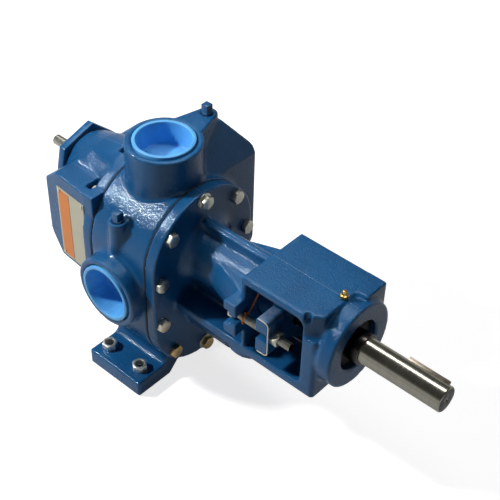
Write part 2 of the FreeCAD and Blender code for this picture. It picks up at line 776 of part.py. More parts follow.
def make_flange_bolts():
    """Bolts through both flanges into the case; the front's top and bottom ones sit on washers."""
    front = []
    washers = []
    for index, (across, up) in enumerate(flange_places()):
        lift = "washer_thickness" if index < 2 else "0"
        length = f"flange_thickness + gasket_thickness + bolt_engagement + {lift}"
        front.append(hex_bolt(f"front_bolt_{index}", length, (f"flange_face + {lift}", across, up), "-x",
                              f"{index} * bolt_turn_step"))
        if index < 2:
            place = ("flange_face", across, up)
            washer = rod(f"washer_{index}", "washer_radius", "washer_thickness", place)
            hole = rod(f"washer_hole_{index}", "bolt_radius + bolt_hole_clearance", "washer_thickness", place)
            washers.append(cut(f"washer_cut_{index}", washer, [hole]))
    rear = []
    for index, (across, up) in enumerate(flange_places(False)):
        length = "cover_flange_thickness + gasket_thickness + bolt_engagement"
        rear.append(hex_bolt(f"rear_bolt_{index}", length, ("cover_flange_back", across, up), "+x",
                             f"{index} * bolt_turn_step"))
    node(grouped("front_bolts", front), "flange_bolts")
    node(grouped("rear_bolts", rear), "cover_bolts")
    node(grouped("washers", washers), "flange_washers")


def make_bearing_bracket():
    """The casting that carries the stuffing box, the open gland box and the shaft bearing."""
    flange = padded("bracket_flange", "YZ_Plane", "bracket_start", "flange_thickness",
                    (stadium, ("case_radius",)))
    root = "barrel_radius + barrel_fillet + barrel_root_margin"
    barrel = turned("barrel", [
        ("bracket_start", "0"), ("box_rear", "0"), ("box_rear", "barrel_radius"),
        ("flange_face", "barrel_radius"), ("flange_face", root), ("bracket_start", root)])
    rounded(barrel, "barrel_fillet", lambda middle, way:
            abs(middle.x - value("flange_face")) < 0.1
            and math.hypot(middle.y, middle.z) < value("barrel_radius") + 1)
    rib = block("top_rib", ("bracket_start", "-rib_width / 2", "shaft_height"),
                ("box_rear + 1", "rib_width / 2", "shaft_height + rib_height"))
    web = block("barrel_web", ("bracket_start", "-web_half_width", "floor_level - floor_thickness"),
                ("box_rear + 1", "web_half_width", "shaft_height"))
    floor = block("floor_plate", ("bracket_start", "-box_half_width", "floor_level - floor_thickness"),
                  ("box_rear + 1", "box_half_width", "floor_level"))
    driven_boss = rod("driven_boss", "driven_boss_radius", "flange_thickness + driven_boss_length",
                      ("bracket_start", "0", "driven_height"))
    flank_cone = cone("flank_cone", "flank_start_radius", "flank_end_radius", "box_rear - flank_start",
                      ("flank_start", "0", "shaft_height"))
    flank_slab = block("flank_slab", ("flank_start", "-box_half_width", "shaft_height - flank_drop"),
                       ("box_rear", "box_half_width", "shaft_height + flank_rise"))
    flank = doc.addObject("Part::Common", "flank")
    flank.Base = flank_cone
    flank.Tool = flank_slab
    drain_end = "floor_level - floor_thickness - drain_boss_drop"
    drain = rod("drain_boss", "drain_boss_radius", "drain_boss_drop + floor_thickness / 2",
                ("drain_boss_place", "-drain_boss_side", drain_end), "+z")
    plan = [("box_rear", "-box_half_width"), ("box_front", "-box_half_width"),
            ("box_front", "box_half_width"), ("box_rear", "box_half_width")]
    box = padded("gland_box", "XY_Plane", "floor_level - floor_thickness",
                 "box_level - floor_level + floor_thickness", (polygon, (plan,)))
    rounded(box, "box_round", lambda middle, way:
            abs(way.z) > 0.9 and middle.x > value("box_corner_start"))
    rounded(box, "box_edge_round", lambda middle, way:
            middle.z > value("box_level") - 0.1 and middle.x > value("box_rear") + 1)
    hub = turned("hub", [("box_front - hub_lip", "0"), ("hub_face", "0"), ("hub_face", "hub_radius"),
                         ("box_front + hub_groove_width", "hub_radius"),
                         ("box_front + hub_groove_width", "hub_radius - hub_groove_depth"),
                         ("box_front - hub_lip", "hub_radius - hub_groove_depth")])
    far_lug = block("far_lug", ("box_front - hub_lip", "far_lug_inner", "far_lug_level"),
                    ("far_lug_front", "box_half_width", "box_level"))
    lugs = block("gland_lugs", ("gland_lug_start", "-gland_lug_reach", "shaft_height - gland_lug_half_height"),
                 ("window_rear", "gland_lug_reach", "shaft_height + gland_lug_half_height"))
    solid = joined("bracket_casting", [flange, barrel, rib, web, flank, floor, driven_boss, box, drain,
                                        hub, far_lug, lugs])

    slot_half = "bolt_radius + gland_slot_clearance"
    window = padded("window", "XZ_Plane", "-gland_lug_reach - 1", "2 * gland_lug_reach + 2", (polygon, ([
        ("window_rear", "floor_level"), ("window_front", "floor_level"), ("window_front", "window_level"),
        ("window_rear", "window_level")],)))
    rounded(window, "window_round", lambda middle, way:
            abs(way.y) > 0.9 and middle.x > value("window_front") - 1)
    tools = [
        window,
        rod("drive_bush_seat", "bush_radius", "bush_length + bush_end_gap",
            ("bracket_start", "0", "shaft_height")),
        rod("driven_bush_seat", "bush_radius", "flange_thickness + driven_boss_length - driven_bore_end_wall",
            ("bracket_start", "0", "driven_height")),
        rod("shaft_way", "journal_radius + gland_shaft_clearance", "packing_start - bracket_start",
            ("bracket_start", "0", "shaft_height")),
        rod("stuffing_bore", "packing_bore_radius", "window_rear - packing_start + 1",
            ("packing_start", "0", "shaft_height")),
        rod("bearing_seat", "bearing_outer_radius", "bearing_front - window_front + 1",
            ("window_front - 1", "0", "shaft_height")),
        rod("hub_opening", "hub_opening_radius", "hub_lip + 1", ("bearing_front", "0", "shaft_height")),
        rod("retaining_groove", "bearing_outer_radius + snap_groove_depth", "snap_ring_thickness",
            ("bearing_rear - snap_ring_thickness", "0", "shaft_height")),
        rod("corner_pocket", "corner_pocket_radius", "corner_pocket_length + 1",
            ("box_corner_start + corner_pocket_setback", "-box_half_width + corner_pocket_inset",
             "box_level - corner_pocket_length"), "+z"),
        rod("drain_hole", "drain_hole_radius", "floor_thickness + drain_boss_drop + 2",
            ("drain_boss_place", "-drain_boss_side", drain_end + " - 1"), "+z"),
        rod("grease_hole", "grease_nipple_radius", "box_level - shaft_height",
            ("grease_fitting_place", "0", "shaft_height"), "+z"),
    ]
    corner = [("box_corner_start", "-box_half_width - 1"), ("box_corner_start", "-box_half_width"),
              ("box_front", "-box_corner_half_width"), ("box_front + 1", "-box_corner_half_width"),
              ("box_front + 1", "-box_half_width - 1")]
    tools.append(padded("near_corner", "XY_Plane", "box_level - box_corner_drop", "box_corner_drop + 1",
                        (polygon, (corner,))))
    for side, low, high in (("near", "-gland_lug_reach - 1", "-gland_bolt_offset"),
                            ("far", "gland_bolt_offset", "gland_lug_reach + 1")):
        tools.append(block(f"{side}_lug_slot", ("gland_lug_start - 1", low, f"shaft_height - ({slot_half})"),
                           ("window_rear + 1", high, f"shaft_height + ({slot_half})")))
        tools.append(block(f"{side}_head_pocket",
                           ("gland_lug_start - 1", low, "shaft_height - gland_head_pocket"),
                           ("gland_lug_seat", high, "shaft_height + gland_head_pocket")))
        centre = "-gland_bolt_offset" if side == "near" else "gland_bolt_offset"
        tools.append(rod(f"{side}_lug_bore", slot_half, "window_rear - gland_lug_start + 2",
                         ("gland_lug_start - 1", centre, "shaft_height")))
        tools.append(rod(f"{side}_head_bore", "gland_head_pocket", "gland_lug_seat - gland_lug_start + 1",
                         ("gland_lug_start - 1", centre, "shaft_height")))
    tools += flange_holes("bracket_hole", "bracket_start", "flange_thickness + bolt_head_height")
    node(cut("bracket_cut", solid, tools), "bearing_bracket")


def make_faceplate():
    """The rear cover: flange, tapered body with the label face, and the relief valve's barrel."""
    flange = padded("cover_flange", "YZ_Plane", "cover_flange_back", "cover_flange_thickness",
                    (stadium, ("case_radius",)))
    back = "-cover_rear"
    side = [("cover_start", "cover_low_level"), ("cover_start", "cover_level"),
            (back + " + cover_top_cut_along", "cover_level"), (back, "cover_level - cover_top_cut_down"),
            (back, "cover_low_level + cover_low_cut_up"), (back + " + cover_low_cut_along", "cover_low_level")]
    profile = padded("cover_side", "XZ_Plane", "-case_radius", "2 * case_radius", (polygon, (side,)))
    plan = [("cover_start", "-cover_half_width_front"), ("cover_flange_back", "-cover_half_width_front"),
            (back, "-cover_half_width_rear"), (back, "cover_half_width_rear"),
            ("cover_flange_back", "cover_half_width_front"), ("cover_start", "cover_half_width_front")]
    outline = padded("cover_plan", "XY_Plane", "0", "top_port_level", (polygon, (plan,)))
    body = doc.addObject("Part::Common", "cover_body")
    body.Base = profile
    body.Tool = outline
    barrel = turned("valve_barrel", [
        ("cover_flange_back", "0"), ("-valve_rim", "0"), ("-valve_rim", "valve_rim_radius - valve_rim_round"),
        ("-valve_rim + valve_rim_round / 3", "valve_rim_radius - valve_rim_round / 3"),
        ("-valve_rim + valve_rim_round", "valve_rim_radius"), ("-valve_waist", "valve_waist_radius"),
        ("cover_flange_back", "valve_root_radius")],
        "valve_level")
    bump_height = "cover_level - valve_bump_sink"
    bump = [rod("valve_bump", "valve_bump_radius", "valve_bump_length",
                ("-valve_bump_front - valve_bump_length", "-valve_bump_side", bump_height))]
    for place in ("-valve_bump_front", "-valve_bump_front - valve_bump_length"):
        bump.append(ball(f"valve_bump_end_{len(bump)}", "valve_bump_radius",
                         (place, "-valve_bump_side", bump_height)))
    driven_boss = rod("cover_driven_boss", "driven_boss_radius", "cover_driven_boss_length",
                      ("cover_start - cover_driven_boss_length", "0", "driven_height"))
    solid = joined("cover_casting", [flange, body, barrel, driven_boss] + bump)

    groove_mean = "valve_feed_rise"
    tools = [
        rod("cover_drive_seat", "bush_radius", "bush_length + bush_end_gap",
            ("cover_start - bush_length - bush_end_gap", "0", "shaft_height")),
        rod("cover_driven_seat", "bush_radius", "bush_length + bush_end_gap",
            ("cover_start - bush_length - bush_end_gap", "0", "driven_height")),
        rod("valve_chamber", "valve_chamber_radius", "valve_rim - valve_chamber_front",
            ("-valve_rim", "0", "valve_level")),
        rod("cap_seat", "cap_neck_radius", "cap_thread_length + 2", ("-valve_rim", "0", "valve_level")),
        rod("valve_seat", "valve_seat_radius", "valve_seat_depth",
            ("-valve_chamber_front", "0", "valve_level")),
        rod("valve_feed", "valve_feed_radius", "valve_chamber_front + cover_start",
            ("-valve_chamber_front", "0", "shaft_height + valve_feed_rise")),
        rod("return_along", "valve_return_radius", "valve_return_back + cover_start",
            ("-valve_return_back", "-valve_return_side", "middle_height")),
        rod("return_up", "valve_return_radius", "valve_level - middle_height",
            ("-valve_return_back", "-valve_return_side", "middle_height"), "+z"),
    ]
    groove = doc.addObject("Part::Cylinder", "port_groove_disc")
    bind(groove, {"Radius": groove_mean + " + valve_port_groove_width / 2",
                  "Height": "valve_port_groove_depth", "Angle": "valve_port_groove_sweep"})
    put(groove, ("cover_start - valve_port_groove_depth", "0", "shaft_height"),
        TOWARDS["+x"].multiply(Rotation(Vector(0, 0, 1), 40)))
    inner = rod("port_groove_core", groove_mean + " - valve_port_groove_width / 2",
                "valve_port_groove_depth", ("cover_start - valve_port_groove_depth", "0", "shaft_height"))
    tools.append(cut("port_groove", groove, [inner]))
    tools += flange_holes("cover_hole", "cover_flange_back - bolt_head_height",
                          "cover_flange_thickness + bolt_head_height", whole=False)
    pocket_back = "cover_flange_back - bolt_pocket_depth"
    for index, (across, up) in enumerate(flange_places(False)):
        tools.append(rod(f"head_pocket_{index}", "bolt_pocket_radius", "bolt_pocket_depth",
                         (pocket_back, across, up)))
        if value(up) > value("shaft_height"):
            tools.append(block(f"head_pocket_mouth_{index}",
                               (pocket_back, f"{across} - bolt_pocket_radius", up),
                               ("cover_flange_back", f"{across} + bolt_pocket_radius",
                                "shaft_height + case_radius + valve_bump_radius")))
    node(cut("faceplate_cut", solid, tools), "faceplate")


def make_bushes():
    """Four plain bushes, one in each cover on each gear axis."""
    for label, start, end, height in (
            ("drive_bush_front", "bracket_start", "bracket_start + bush_length", "shaft_height"),
            ("driven_bush_front", "bracket_start", "bracket_start + bush_length", "driven_height"),
            ("drive_bush_rear", "cover_start - bush_length", "cover_start", "shaft_height"),
            ("driven_bush_rear", "cover_start - bush_length", "cover_start", "driven_height")):
        node(ring(label + "_turned", start, end, "journal_radius + journal_clearance", "bush_radius", height),
             label)


def tooth_outline(turn, place, height):
    """One closed wire of the gear's teeth, turned to an angle, at a place along X.

    Each flank is an involute of the base circle between the base and the tip, a radial line runs
    from the base to the root, and arcs close the tips and roots."""
    teeth = int(value("gear_teeth"))
    pitch = value("pitch_radius")
    tip = value("tip_radius")
    root = pitch - value("gear_dedendum")
    pressure = math.radians(value("gear_pressure_angle"))
    base = pitch * math.cos(pressure)
    half_tooth = math.pi / (2 * teeth) - value("gear_backlash") / (4 * pitch)
    spread = half_tooth + math.tan(pressure) - pressure

    def point(radius, angle):
        return Vector(place, radius * math.cos(turn + angle), height + radius * math.sin(turn + angle))

    def flank_angle(radius):
        lean = math.acos(min(1.0, base / radius))
        return spread - (math.tan(lean) - lean)

    edges = []
    start = max(base, root + 0.4)
    radii = [start + (tip - start) * step / 4 for step in range(5)]
    for number in range(teeth):
        middle = 2 * math.pi * number / teeth
        following = middle + 2 * math.pi / teeth
        rising = [point(radius, middle - flank_angle(radius)) for radius in radii]
        falling = [point(radius, middle + flank_angle(radius)) for radius in reversed(radii)]
        foot_start = point(root, middle - flank_angle(start))
        foot_end = point(root, middle + flank_angle(start))
        next_foot = point(root, following - flank_angle(start))
        edges.append(Part.LineSegment(foot_start, rising[0]).toShape())
        edges += [Part.LineSegment(a, b).toShape() for a, b in zip(rising, rising[1:])]
        edges.append(Part.LineSegment(rising[-1], falling[0]).toShape())
        edges += [Part.LineSegment(a, b).toShape() for a, b in zip(falling, falling[1:])]
        edges.append(Part.LineSegment(falling[-1], foot_end).toShape())
        edges.append(Part.LineSegment(foot_end, next_foot).toShape())
    return Part.Wire(edges)


def helical_gear(height, hand, first_turn, bore):
    """A helical gear lofted through outlines that turn evenly along its length, with a bore."""
    length = value("gear_length")
    middle = value("gear_middle")
    slices = 6
    sweep = hand * length * math.tan(math.radians(value("gear_helix_angle"))) / value("pitch_radius")
    wires = []
    for number in range(slices + 1):
        share = number / slices
        wires.append(tooth_outline(first_turn + sweep * (share - 0.5), middle + length * (share - 0.5), height))
    solid = Part.makeLoft(wires, True, True)
    hole = Part.makeCylinder(bore, length + 2, Vector(middle - length / 2 - 1, 0, height), Vector(1, 0, 0))
    return solid.cut(hole)


def keyway(radius, length, height):
    """The slot that a gear's key fills, up from the shaft's middle line."""
    width = value("gear_key_width") + 2 * value("key_fit")
    rise = radius + value("gear_key_width") / 2 + value("key_fit")
    return Part.makeBox(length, width, rise, Vector(value("gear_middle") - length / 2, -width / 2, height))


def make_gears():
    """The two meshing gears, opposite hands, with keyways, and their keys."""
    pitch_turn = math.pi / int(value("gear_teeth"))
    radius = value("journal_radius")
    bore = radius + value("gear_hub_clearance")
    for label, height, hand, turn in (
            ("drive_gear", value("shaft_height"), 1, -math.pi / 2),
            ("driven_gear", value("driven_height"), -1, math.pi / 2 + pitch_turn)):
        gear = doc.addObject("Part::Feature", label + "_teeth")
        solid = helical_gear(height, hand, turn, bore)
        gear.Shape = solid.cut(keyway(radius, value("gear_length") + 2, height))
        node(gear, label)
    for label, height in (("drive_gear_key", "shaft_height"), ("driven_gear_key", "driven_height")):
        low = f"{height} + journal_radius - gear_key_width / 2"
        node(block(label + "_block",
                   ("gear_middle - gear_key_length / 2", "-gear_key_width / 2", low),
                   ("gear_middle + gear_key_length / 2", "gear_key_width / 2", low + " + gear_key_width")),
             label)


def make_shafts():
    """The drive shaft, stepped for the bearing and the coupling, the driven shaft and the key."""
    end = "shaft_end"
    rear = "cover_start - bush_length"
    shoulder = "bearing_rear - snap_ring_thickness"
    turned_shaft = turned("drive_shaft_turned", [
        (rear, "0"), (end + " - centre_drill_depth", "0"), (end, "centre_drill_radius"),
        (end, "drive_end_radius - shaft_chamfer"), (end + " - shaft_chamfer", "drive_end_radius"),
        ("shaft_shoulder", "drive_end_radius"), ("shaft_shoulder", "bearing_bore_radius"),
        ("bearing_front + snap_ring_thickness", "bearing_bore_radius"),
        ("bearing_front + snap_ring_thickness", "bearing_bore_radius - snap_groove_depth"),
        ("bearing_front", "bearing_bore_radius - snap_groove_depth"),
        ("bearing_front", "bearing_bore_radius - race_fit"), (shoulder, "bearing_bore_radius - race_fit"),
        (shoulder, "journal_radius"), (rear + " + shaft_chamfer", "journal_radius"),
        (rear, "journal_radius - shaft_chamfer")])
    gear_slot = block("drive_shaft_keyway", (
        "gear_middle - gear_key_length / 2 - key_fit", "-gear_key_width / 2 - key_fit",
        "shaft_height + journal_radius - gear_key_width / 2 - key_fit"),
        ("gear_middle + gear_key_length / 2 + key_fit", "gear_key_width / 2 + key_fit",
         "shaft_height + 2 * journal_radius"))
    coupling_slot = doc.addObject("Part::Box", "coupling_keyway")
    coupling_key = doc.addObject("Part::Box", "coupling_key_block")
    turn = Rotation(Vector(1, 0, 0), value("coupling_key_angle") - 90)
    seat = "(drive_end_radius - coupling_key_width / 2)"
    side = "coupling_key_width / 2"
    for thing, extra in ((coupling_slot, "key_fit"), (coupling_key, "0")):
        bind(thing, {"Length": f"coupling_key_length + 2 * {extra}",
                     "Width": f"coupling_key_width + 2 * {extra}",
                     "Height": f"coupling_key_width + 2 * {extra}"})
        low = f"({seat} - {extra})"
        reach = f"({side} + {extra})"
        put(thing, (f"shaft_end - coupling_key_setback - coupling_key_length - {extra}",
                    f"{low} * cos(coupling_key_angle) - {reach} * sin(coupling_key_angle)",
                    f"shaft_height + {low} * sin(coupling_key_angle) + {reach} * cos(coupling_key_angle)"),
            turn)
    node(cut("drive_shaft_cut", turned_shaft, [gear_slot, coupling_slot]), "drive_shaft")
    node(coupling_key, "coupling_key")

    far = "bracket_start + bush_length"
    plain = turned("driven_shaft_turned", [
        (rear, "0"), (far, "0"), (far, "journal_radius - shaft_chamfer"),
        (far + " - shaft_chamfer", "journal_radius"), (rear + " + shaft_chamfer", "journal_radius"),
        (rear, "journal_radius - shaft_chamfer")], "driven_height")
    slot = block("driven_shaft_keyway", (
        "gear_middle - gear_key_length / 2 - key_fit", "-gear_key_width / 2 - key_fit",
        "driven_height + journal_radius - gear_key_width / 2 - key_fit"),
        ("gear_middle + gear_key_length / 2 + key_fit", "gear_key_width / 2 + key_fit",
         "driven_height + 2 * journal_radius"))
    node(cut("driven_shaft_cut", plain, [slot]), "driven_shaft")


def make_bearing():
    """The ball bearing in the hub: races with grooves, balls in a cage, a shield and snap rings."""
    front = "bearing_front"
    rear = "bearing_rear"
    middle = "(bearing_front + bearing_rear) / 2"
    groove = doc.addObject("Part::Torus", "ball_groove")
    bind(groove, {"Radius1": "bearing_ball_circle", "Radius2": "bearing_ball_radius + bearing_play"})
    put(groove, (middle, "0", "shaft_height"), TOWARDS["+x"])
    inner = ring("inner_race_ring", rear, front, "bearing_bore_radius",
                 "bearing_bore_radius + bearing_race_thickness")
    outer = ring("outer_race_ring", rear, front, "bearing_outer_radius - bearing_race_thickness",
                 "bearing_outer_radius - race_fit")
    node(cut("inner_race_cut", inner, [groove]), "bearing_inner_race")
    outer_groove = doc.addObject("Part::Torus", "outer_ball_groove")
    bind(outer_groove, {"Radius1": "bearing_ball_circle", "Radius2": "bearing_ball_radius + bearing_play"})
    put(outer_groove, (middle, "0", "shaft_height"), TOWARDS["+x"])
    node(cut("outer_race_cut", outer, [outer_groove]), "bearing_outer_race")
    balls = []
    pockets = []
    count = int(value("bearing_balls"))
    for number in range(count):
        angle = 360 / count * number
        place = (middle, f"bearing_ball_circle * cos({angle})",
                 f"shaft_height + bearing_ball_circle * sin({angle})")
        balls.append(ball(f"ball_{number}", "bearing_ball_radius", place))
        pockets.append(ball(f"pocket_{number}", "bearing_ball_radius + race_fit", place))
    node(grouped("balls", balls), "bearing_balls")
    cage = ring("cage_ring", middle + " - bearing_ball_radius - 1", middle + " + bearing_ball_radius + 1",
                "bearing_ball_circle - cage_thickness / 2", "bearing_ball_circle + cage_thickness / 2")
    node(cut("cage_cut", cage, pockets), "bearing_cage")
    node(ring("shield_ring", front, front + " + bearing_shield_thickness",
              "bearing_bore_radius + snap_ring_height + shield_inner_gap",
              "hub_opening_radius - shield_outer_gap"),
         "bearing_shield")
    node(ring("shaft_snap_ring_turned", front, front + " + snap_ring_thickness",
              "bearing_bore_radius - snap_groove_depth", "bearing_bore_radius + snap_ring_height"),
         "shaft_snap_ring")
    node(ring("housing_snap_ring_turned", rear + " - snap_ring_thickness", rear,
              "bearing_outer_radius - snap_ring_height", "bearing_outer_radius + snap_groove_depth"),
         "housing_snap_ring")


def make_packing():
    """The packing rings in the stuffing box."""
    rings = []
    for number in range(int(value("packing_rings"))):
        start = f"packing_start + {number} * packing_ring_width"
        rings.append(ring(f"packing_ring_{number}", start, start + " + packing_ring_width - packing_fit",
                          "journal_radius + packing_fit", "packing_bore_radius - packing_fit"))
    node(grouped("packing", rings), "packing_rings")


def make_gland():
    """The follower that presses the packing: nose, plate with two slotted ears, clips, bolts and nuts."""
    nose = rod("gland_nose", "packing_bore_radius - gland_nose_clearance",
               "gland_plate_start - gland_nose_start", ("gland_nose_start", "0", "shaft_height"))
    disc = rod("gland_disc", "gland_disc_radius", "gland_plate_thickness",
               ("gland_plate_start", "0", "shaft_height"))
    ears = padded("gland_ears", "XZ_Plane", "-gland_half_width", "2 * gland_half_width", (polygon, ([
        ("gland_plate_start", "shaft_height - gland_half_height"),
        ("gland_plate_end", "shaft_height - gland_half_height"),
        ("gland_plate_end", "shaft_height + gland_half_height"),
        ("gland_plate_start", "shaft_height + gland_half_height")],)))
    rounded(ears, "gland_corner_round", lambda middle, way:
            abs(way.y) > 0.9 and middle.x > value("gland_plate_end") - 1)
    slot = "bolt_radius + gland_slot_clearance"
    tools = [rod("gland_bore", "journal_radius + gland_shaft_clearance",
                 "gland_plate_end - gland_nose_start + 2", ("gland_nose_start - 1", "0", "shaft_height"))]
    bolts = []
    nuts = []
    clips = []
    for side, sign in (("near", "-1"), ("far", "1")):
        axis = f"{sign} * gland_bolt_offset"
        low, high = sorted((f"{sign} * gland_bolt_offset", f"{sign} * (gland_half_width + 1)"), key=value)
        tools.append(rod(f"{side}_ear_bore", slot, "gland_plate_thickness + 2",
                         ("gland_plate_start - 1", axis, "shaft_height")))
        tools.append(block(f"{side}_ear_slot", ("gland_plate_start - 1", low, f"shaft_height - ({slot})"),
                           ("gland_plate_end + 1", high, f"shaft_height + ({slot})")))
        head = crowned(f"{side}_gland_head", "bolt_flats", "bolt_head_height",
                       ("gland_lug_seat", axis, "shaft_height"), "-x", "gland_bolt_turn")
        shank = rod(f"{side}_gland_shank", "bolt_radius", "gland_bolt_length",
                    ("gland_lug_seat", axis, "shaft_height"))
        bolts.append(joined(f"{side}_gland_bolt", [head, shank]))
        nut = crowned(f"{side}_nut_hex", "bolt_flats", "gland_nut_height",
                      ("gland_nut_start", axis, "shaft_height"), "+x", "gland_nut_turn")
        nut_hole = rod(f"{side}_nut_hole", "bolt_radius + gland_nose_clearance", "gland_nut_height",
                       ("gland_nut_start", axis, "shaft_height"))
        nuts.append(cut(f"{side}_nut", nut, [nut_hole]))
        clips.append(make_clip(side, sign))
    solid = joined("gland_casting", [nose, disc, ears])
    node(cut("gland_cut", solid, tools), "packing_gland")
    node(grouped("gland_bolt_pair", bolts), "gland_bolts")
    node(grouped("gland_nut_pair", nuts), "gland_nuts")
    node(grouped("gland_clip_pair", clips), "gland_clips")


def clip_bar(name, start, end, half_height, corner, low, margin):
    """A bar along Y with two rounded front corners, as wide as a clip plus a margin at each side."""
    bar = padded(name, "XZ_Plane", f"-({low}) - gland_clip_width - {margin}",
                 f"gland_clip_width + 2 * {margin}", (polygon, ([
                     (start, f"shaft_height - ({half_height})"), (end, f"shaft_height - ({half_height})"),
                     (end, f"shaft_height + {half_height}"), (start, f"shaft_height + {half_height}")],)))
    return rounded(bar, corner, lambda middle, way:
                   abs(way.y) > 0.9 and middle.x > value(end) - 1)


def make_clip(side, sign):
    """A bent strap over one gland ear: a web under the nut and two legs along the ear's edges."""
    outer_y = f"{sign} * gland_half_width"
    inner_y = f"{sign} * (gland_half_width - gland_clip_width)"
    low, high = sorted((outer_y, inner_y), key=value)
    inside = "gland_half_height + gland_clip_gap"
    outside = "gland_half_height + gland_clip_gap + gland_clip_thickness"
    web_front = "gland_plate_end + gland_clip_gap"
    strap = clip_bar(f"{side}_clip_block", "gland_plate_start + gland_clip_setback",
                     web_front + " + gland_clip_thickness", outside,
                     "gland_corner_round + gland_clip_gap + gland_clip_thickness", low, "0")
    hollow = clip_bar(f"{side}_clip_hollow", "gland_plate_start - 1", web_front, inside,
                      "gland_corner_round + gland_clip_gap", low, "1")
    hole = rod(f"{side}_clip_hole", "bolt_radius + gland_slot_clearance", "gland_plate_thickness",
               ("gland_plate_end - 1", f"{sign} * gland_bolt_offset", "shaft_height"))
    return cut(f"{side}_clip", strap, [hollow, hole])


def make_tie_wire():
    """The copper wire that ties the two gland bolts over the shaft, with a turn round each bolt."""
    wire = value("tie_wire_radius")
    offset = value("gland_bolt_offset")
    height = value("shaft_height")
    loop = value("bolt_radius") + wire + 0.05
    place = value("window_rear + tie_wire_setback")
    rise = value("tie_wire_height")
    corner = value("tie_wire_bend")
    points = [Vector(place, -offset, height + loop), Vector(place, -corner, height + rise),
              Vector(place, corner, height + rise), Vector(place, offset, height + loop)]
    shapes = []
    for side in (-1, 1):
        shapes.append(Part.makeTorus(loop, wire, Vector(place, side * offset, height), Vector(1, 0, 0)))
    for start, end in zip(points, points[1:]):
        shapes.append(Part.makeCylinder(wire, (end - start).Length, start, end - start))
    for joint in points[1:-1]:
        shapes.append(Part.makeSphere(wire, joint))
    thing = doc.addObject("Part::Feature", "tie_wire_sweep")
    thing.Shape = shapes[0].fuse(shapes[1:])
    node(thing, "gland_tie_wire")


def make_relief_valve():
    """The relief valve: poppet on its seat, spring, guide, hexagon cap, adjusting screw and jam nut."""
    cap_back = "cap_plate_back"
    plate = hexagon("cap_plate", "cap_flats", "cap_plate_thickness",
                    (cap_back, "0", "valve_level"), "+x", -value("cap_turn"))
    thread = rod("cap_thread", "cap_neck_radius - screw_clearance",
                 "cap_thread_length + cap_gasket_thickness + 1", ("cap_plate_front - 1", "0", "valve_level"))
    solid = joined("cap_bar", [plate, thread])
    hole = rod("cap_bore", "cap_bore_radius", "cap_thread_length + cap_gasket_thickness + 1",
               ("cap_plate_front", "0", "valve_level"))
    screw_hole = rod("cap_screw_hole", "screw_radius + screw_clearance", "cap_plate_thickness + 2",
                     (cap_back + " - 1", "0", "valve_level"))
    node(cut("cap_cut", solid, [hole, screw_hole]), "relief_cap")
    node(ring("cap_gasket_ring", "-valve_rim - cap_gasket_thickness", "-valve_rim",
              "cap_neck_radius", "valve_rim_radius - cap_gasket_inset", "valve_level"), "relief_cap_gasket")

    node(turned("poppet_turned", [
        ("poppet_back", "poppet_hollow_radius"), ("poppet_back", "poppet_radius"),
        ("poppet_front", "poppet_radius"), ("poppet_front", "valve_seat_radius - poppet_play"),
        ("poppet_front + poppet_pilot", "valve_seat_radius - poppet_play"),
        ("poppet_front + poppet_pilot", "0"), ("poppet_back + poppet_hollow_depth", "0"),
        ("poppet_back + poppet_hollow_depth", "poppet_hollow_radius")],
        "valve_level"), "relief_poppet")
    node(turned("guide_turned", [
        ("guide_back", "0"), ("guide_face + guide_pilot_length", "0"),
        ("guide_face + guide_pilot_length", "guide_pilot_radius"), ("guide_face", "guide_pilot_radius"),
        ("guide_face", "cap_bore_radius - guide_side_play"),
        ("guide_back", "cap_bore_radius - guide_side_play")],
        "valve_level"), "spring_guide")
    screw = rod("screw_bar", "screw_radius", "guide_back - guide_gap - cap_plate_back + screw_stand_out",
                ("cap_plate_back - screw_stand_out", "0", "valve_level"))
    slot = block("screw_slot", ("cap_plate_back - screw_stand_out - 1", "-screw_radius - 1",
                                "valve_level - screw_slot_width / 2"),
                 ("cap_plate_back - screw_stand_out + screw_slot_depth", "screw_radius + 1",
                  "valve_level + screw_slot_width / 2"))
    node(cut("screw_cut", screw, [slot]), "adjusting_screw")
    nut = crowned("jam_nut_hex", "jam_nut_flats", "jam_nut_height", (cap_back, "0", "valve_level"), "-x",
                  "jam_nut_turn")
    nut_hole = rod("jam_nut_hole", "screw_radius + screw_clearance", "jam_nut_height",
                   (cap_back + " - jam_nut_height", "0", "valve_level"))
    node(cut("jam_nut_cut", nut, [nut_hole]), "adjusting_jam_nut")
    make_spring(value("guide_face"), value("poppet_back"))


def make_spring(start, end):
    """The relief spring, a round wire along a helix between the guide and the poppet."""
    wire = value("spring_wire_radius")
    radius = value("spring_radius")
    gap = value("spring_end_gap")
    length = end - start - 2 * wire - 2 * gap
    helix = Part.makeHelix(length / value("spring_turns"), length, radius)
    section = Part.Wire(Part.makeCircle(wire, Vector(radius, 0, 0), Vector(0, 1, 0)))
    coil = Part.Wire(helix).makePipeShell([section], True, True)
    thing = doc.addObject("Part::Feature", "spring_coil")
    thing.Shape = coil
    thing.Placement = Placement(Vector(start + wire + gap, 0, value("valve_level")), TOWARDS["+x"])
    node(thing, "relief_spring")


def port_cap(name, label, place, way):
    """A moulded cup that plugs a port, open outwards, with a slight taper."""
    outer = "port_bore_radius - cap_play"
    length = "cap_cup_depth + cap_base_thickness"
    cup = cone(name + "_cup", outer + " - cap_taper", outer, length, place, way)
    hollow_place = list(place)
    axis = {"-y": 1, "+z": 2}[way]
    step = {"-y": " - cap_base_thickness", "+z": " + cap_base_thickness"}[way]
    hollow_place[axis] = place[axis] + step
    hollow = cone(name + "_hollow", outer + " - cap_taper - cap_wall", outer + " - cap_wall",
                  "cap_cup_depth + 0.01", tuple(hollow_place), way)
    node(cut(name + "_cut", cup, [hollow]), label)


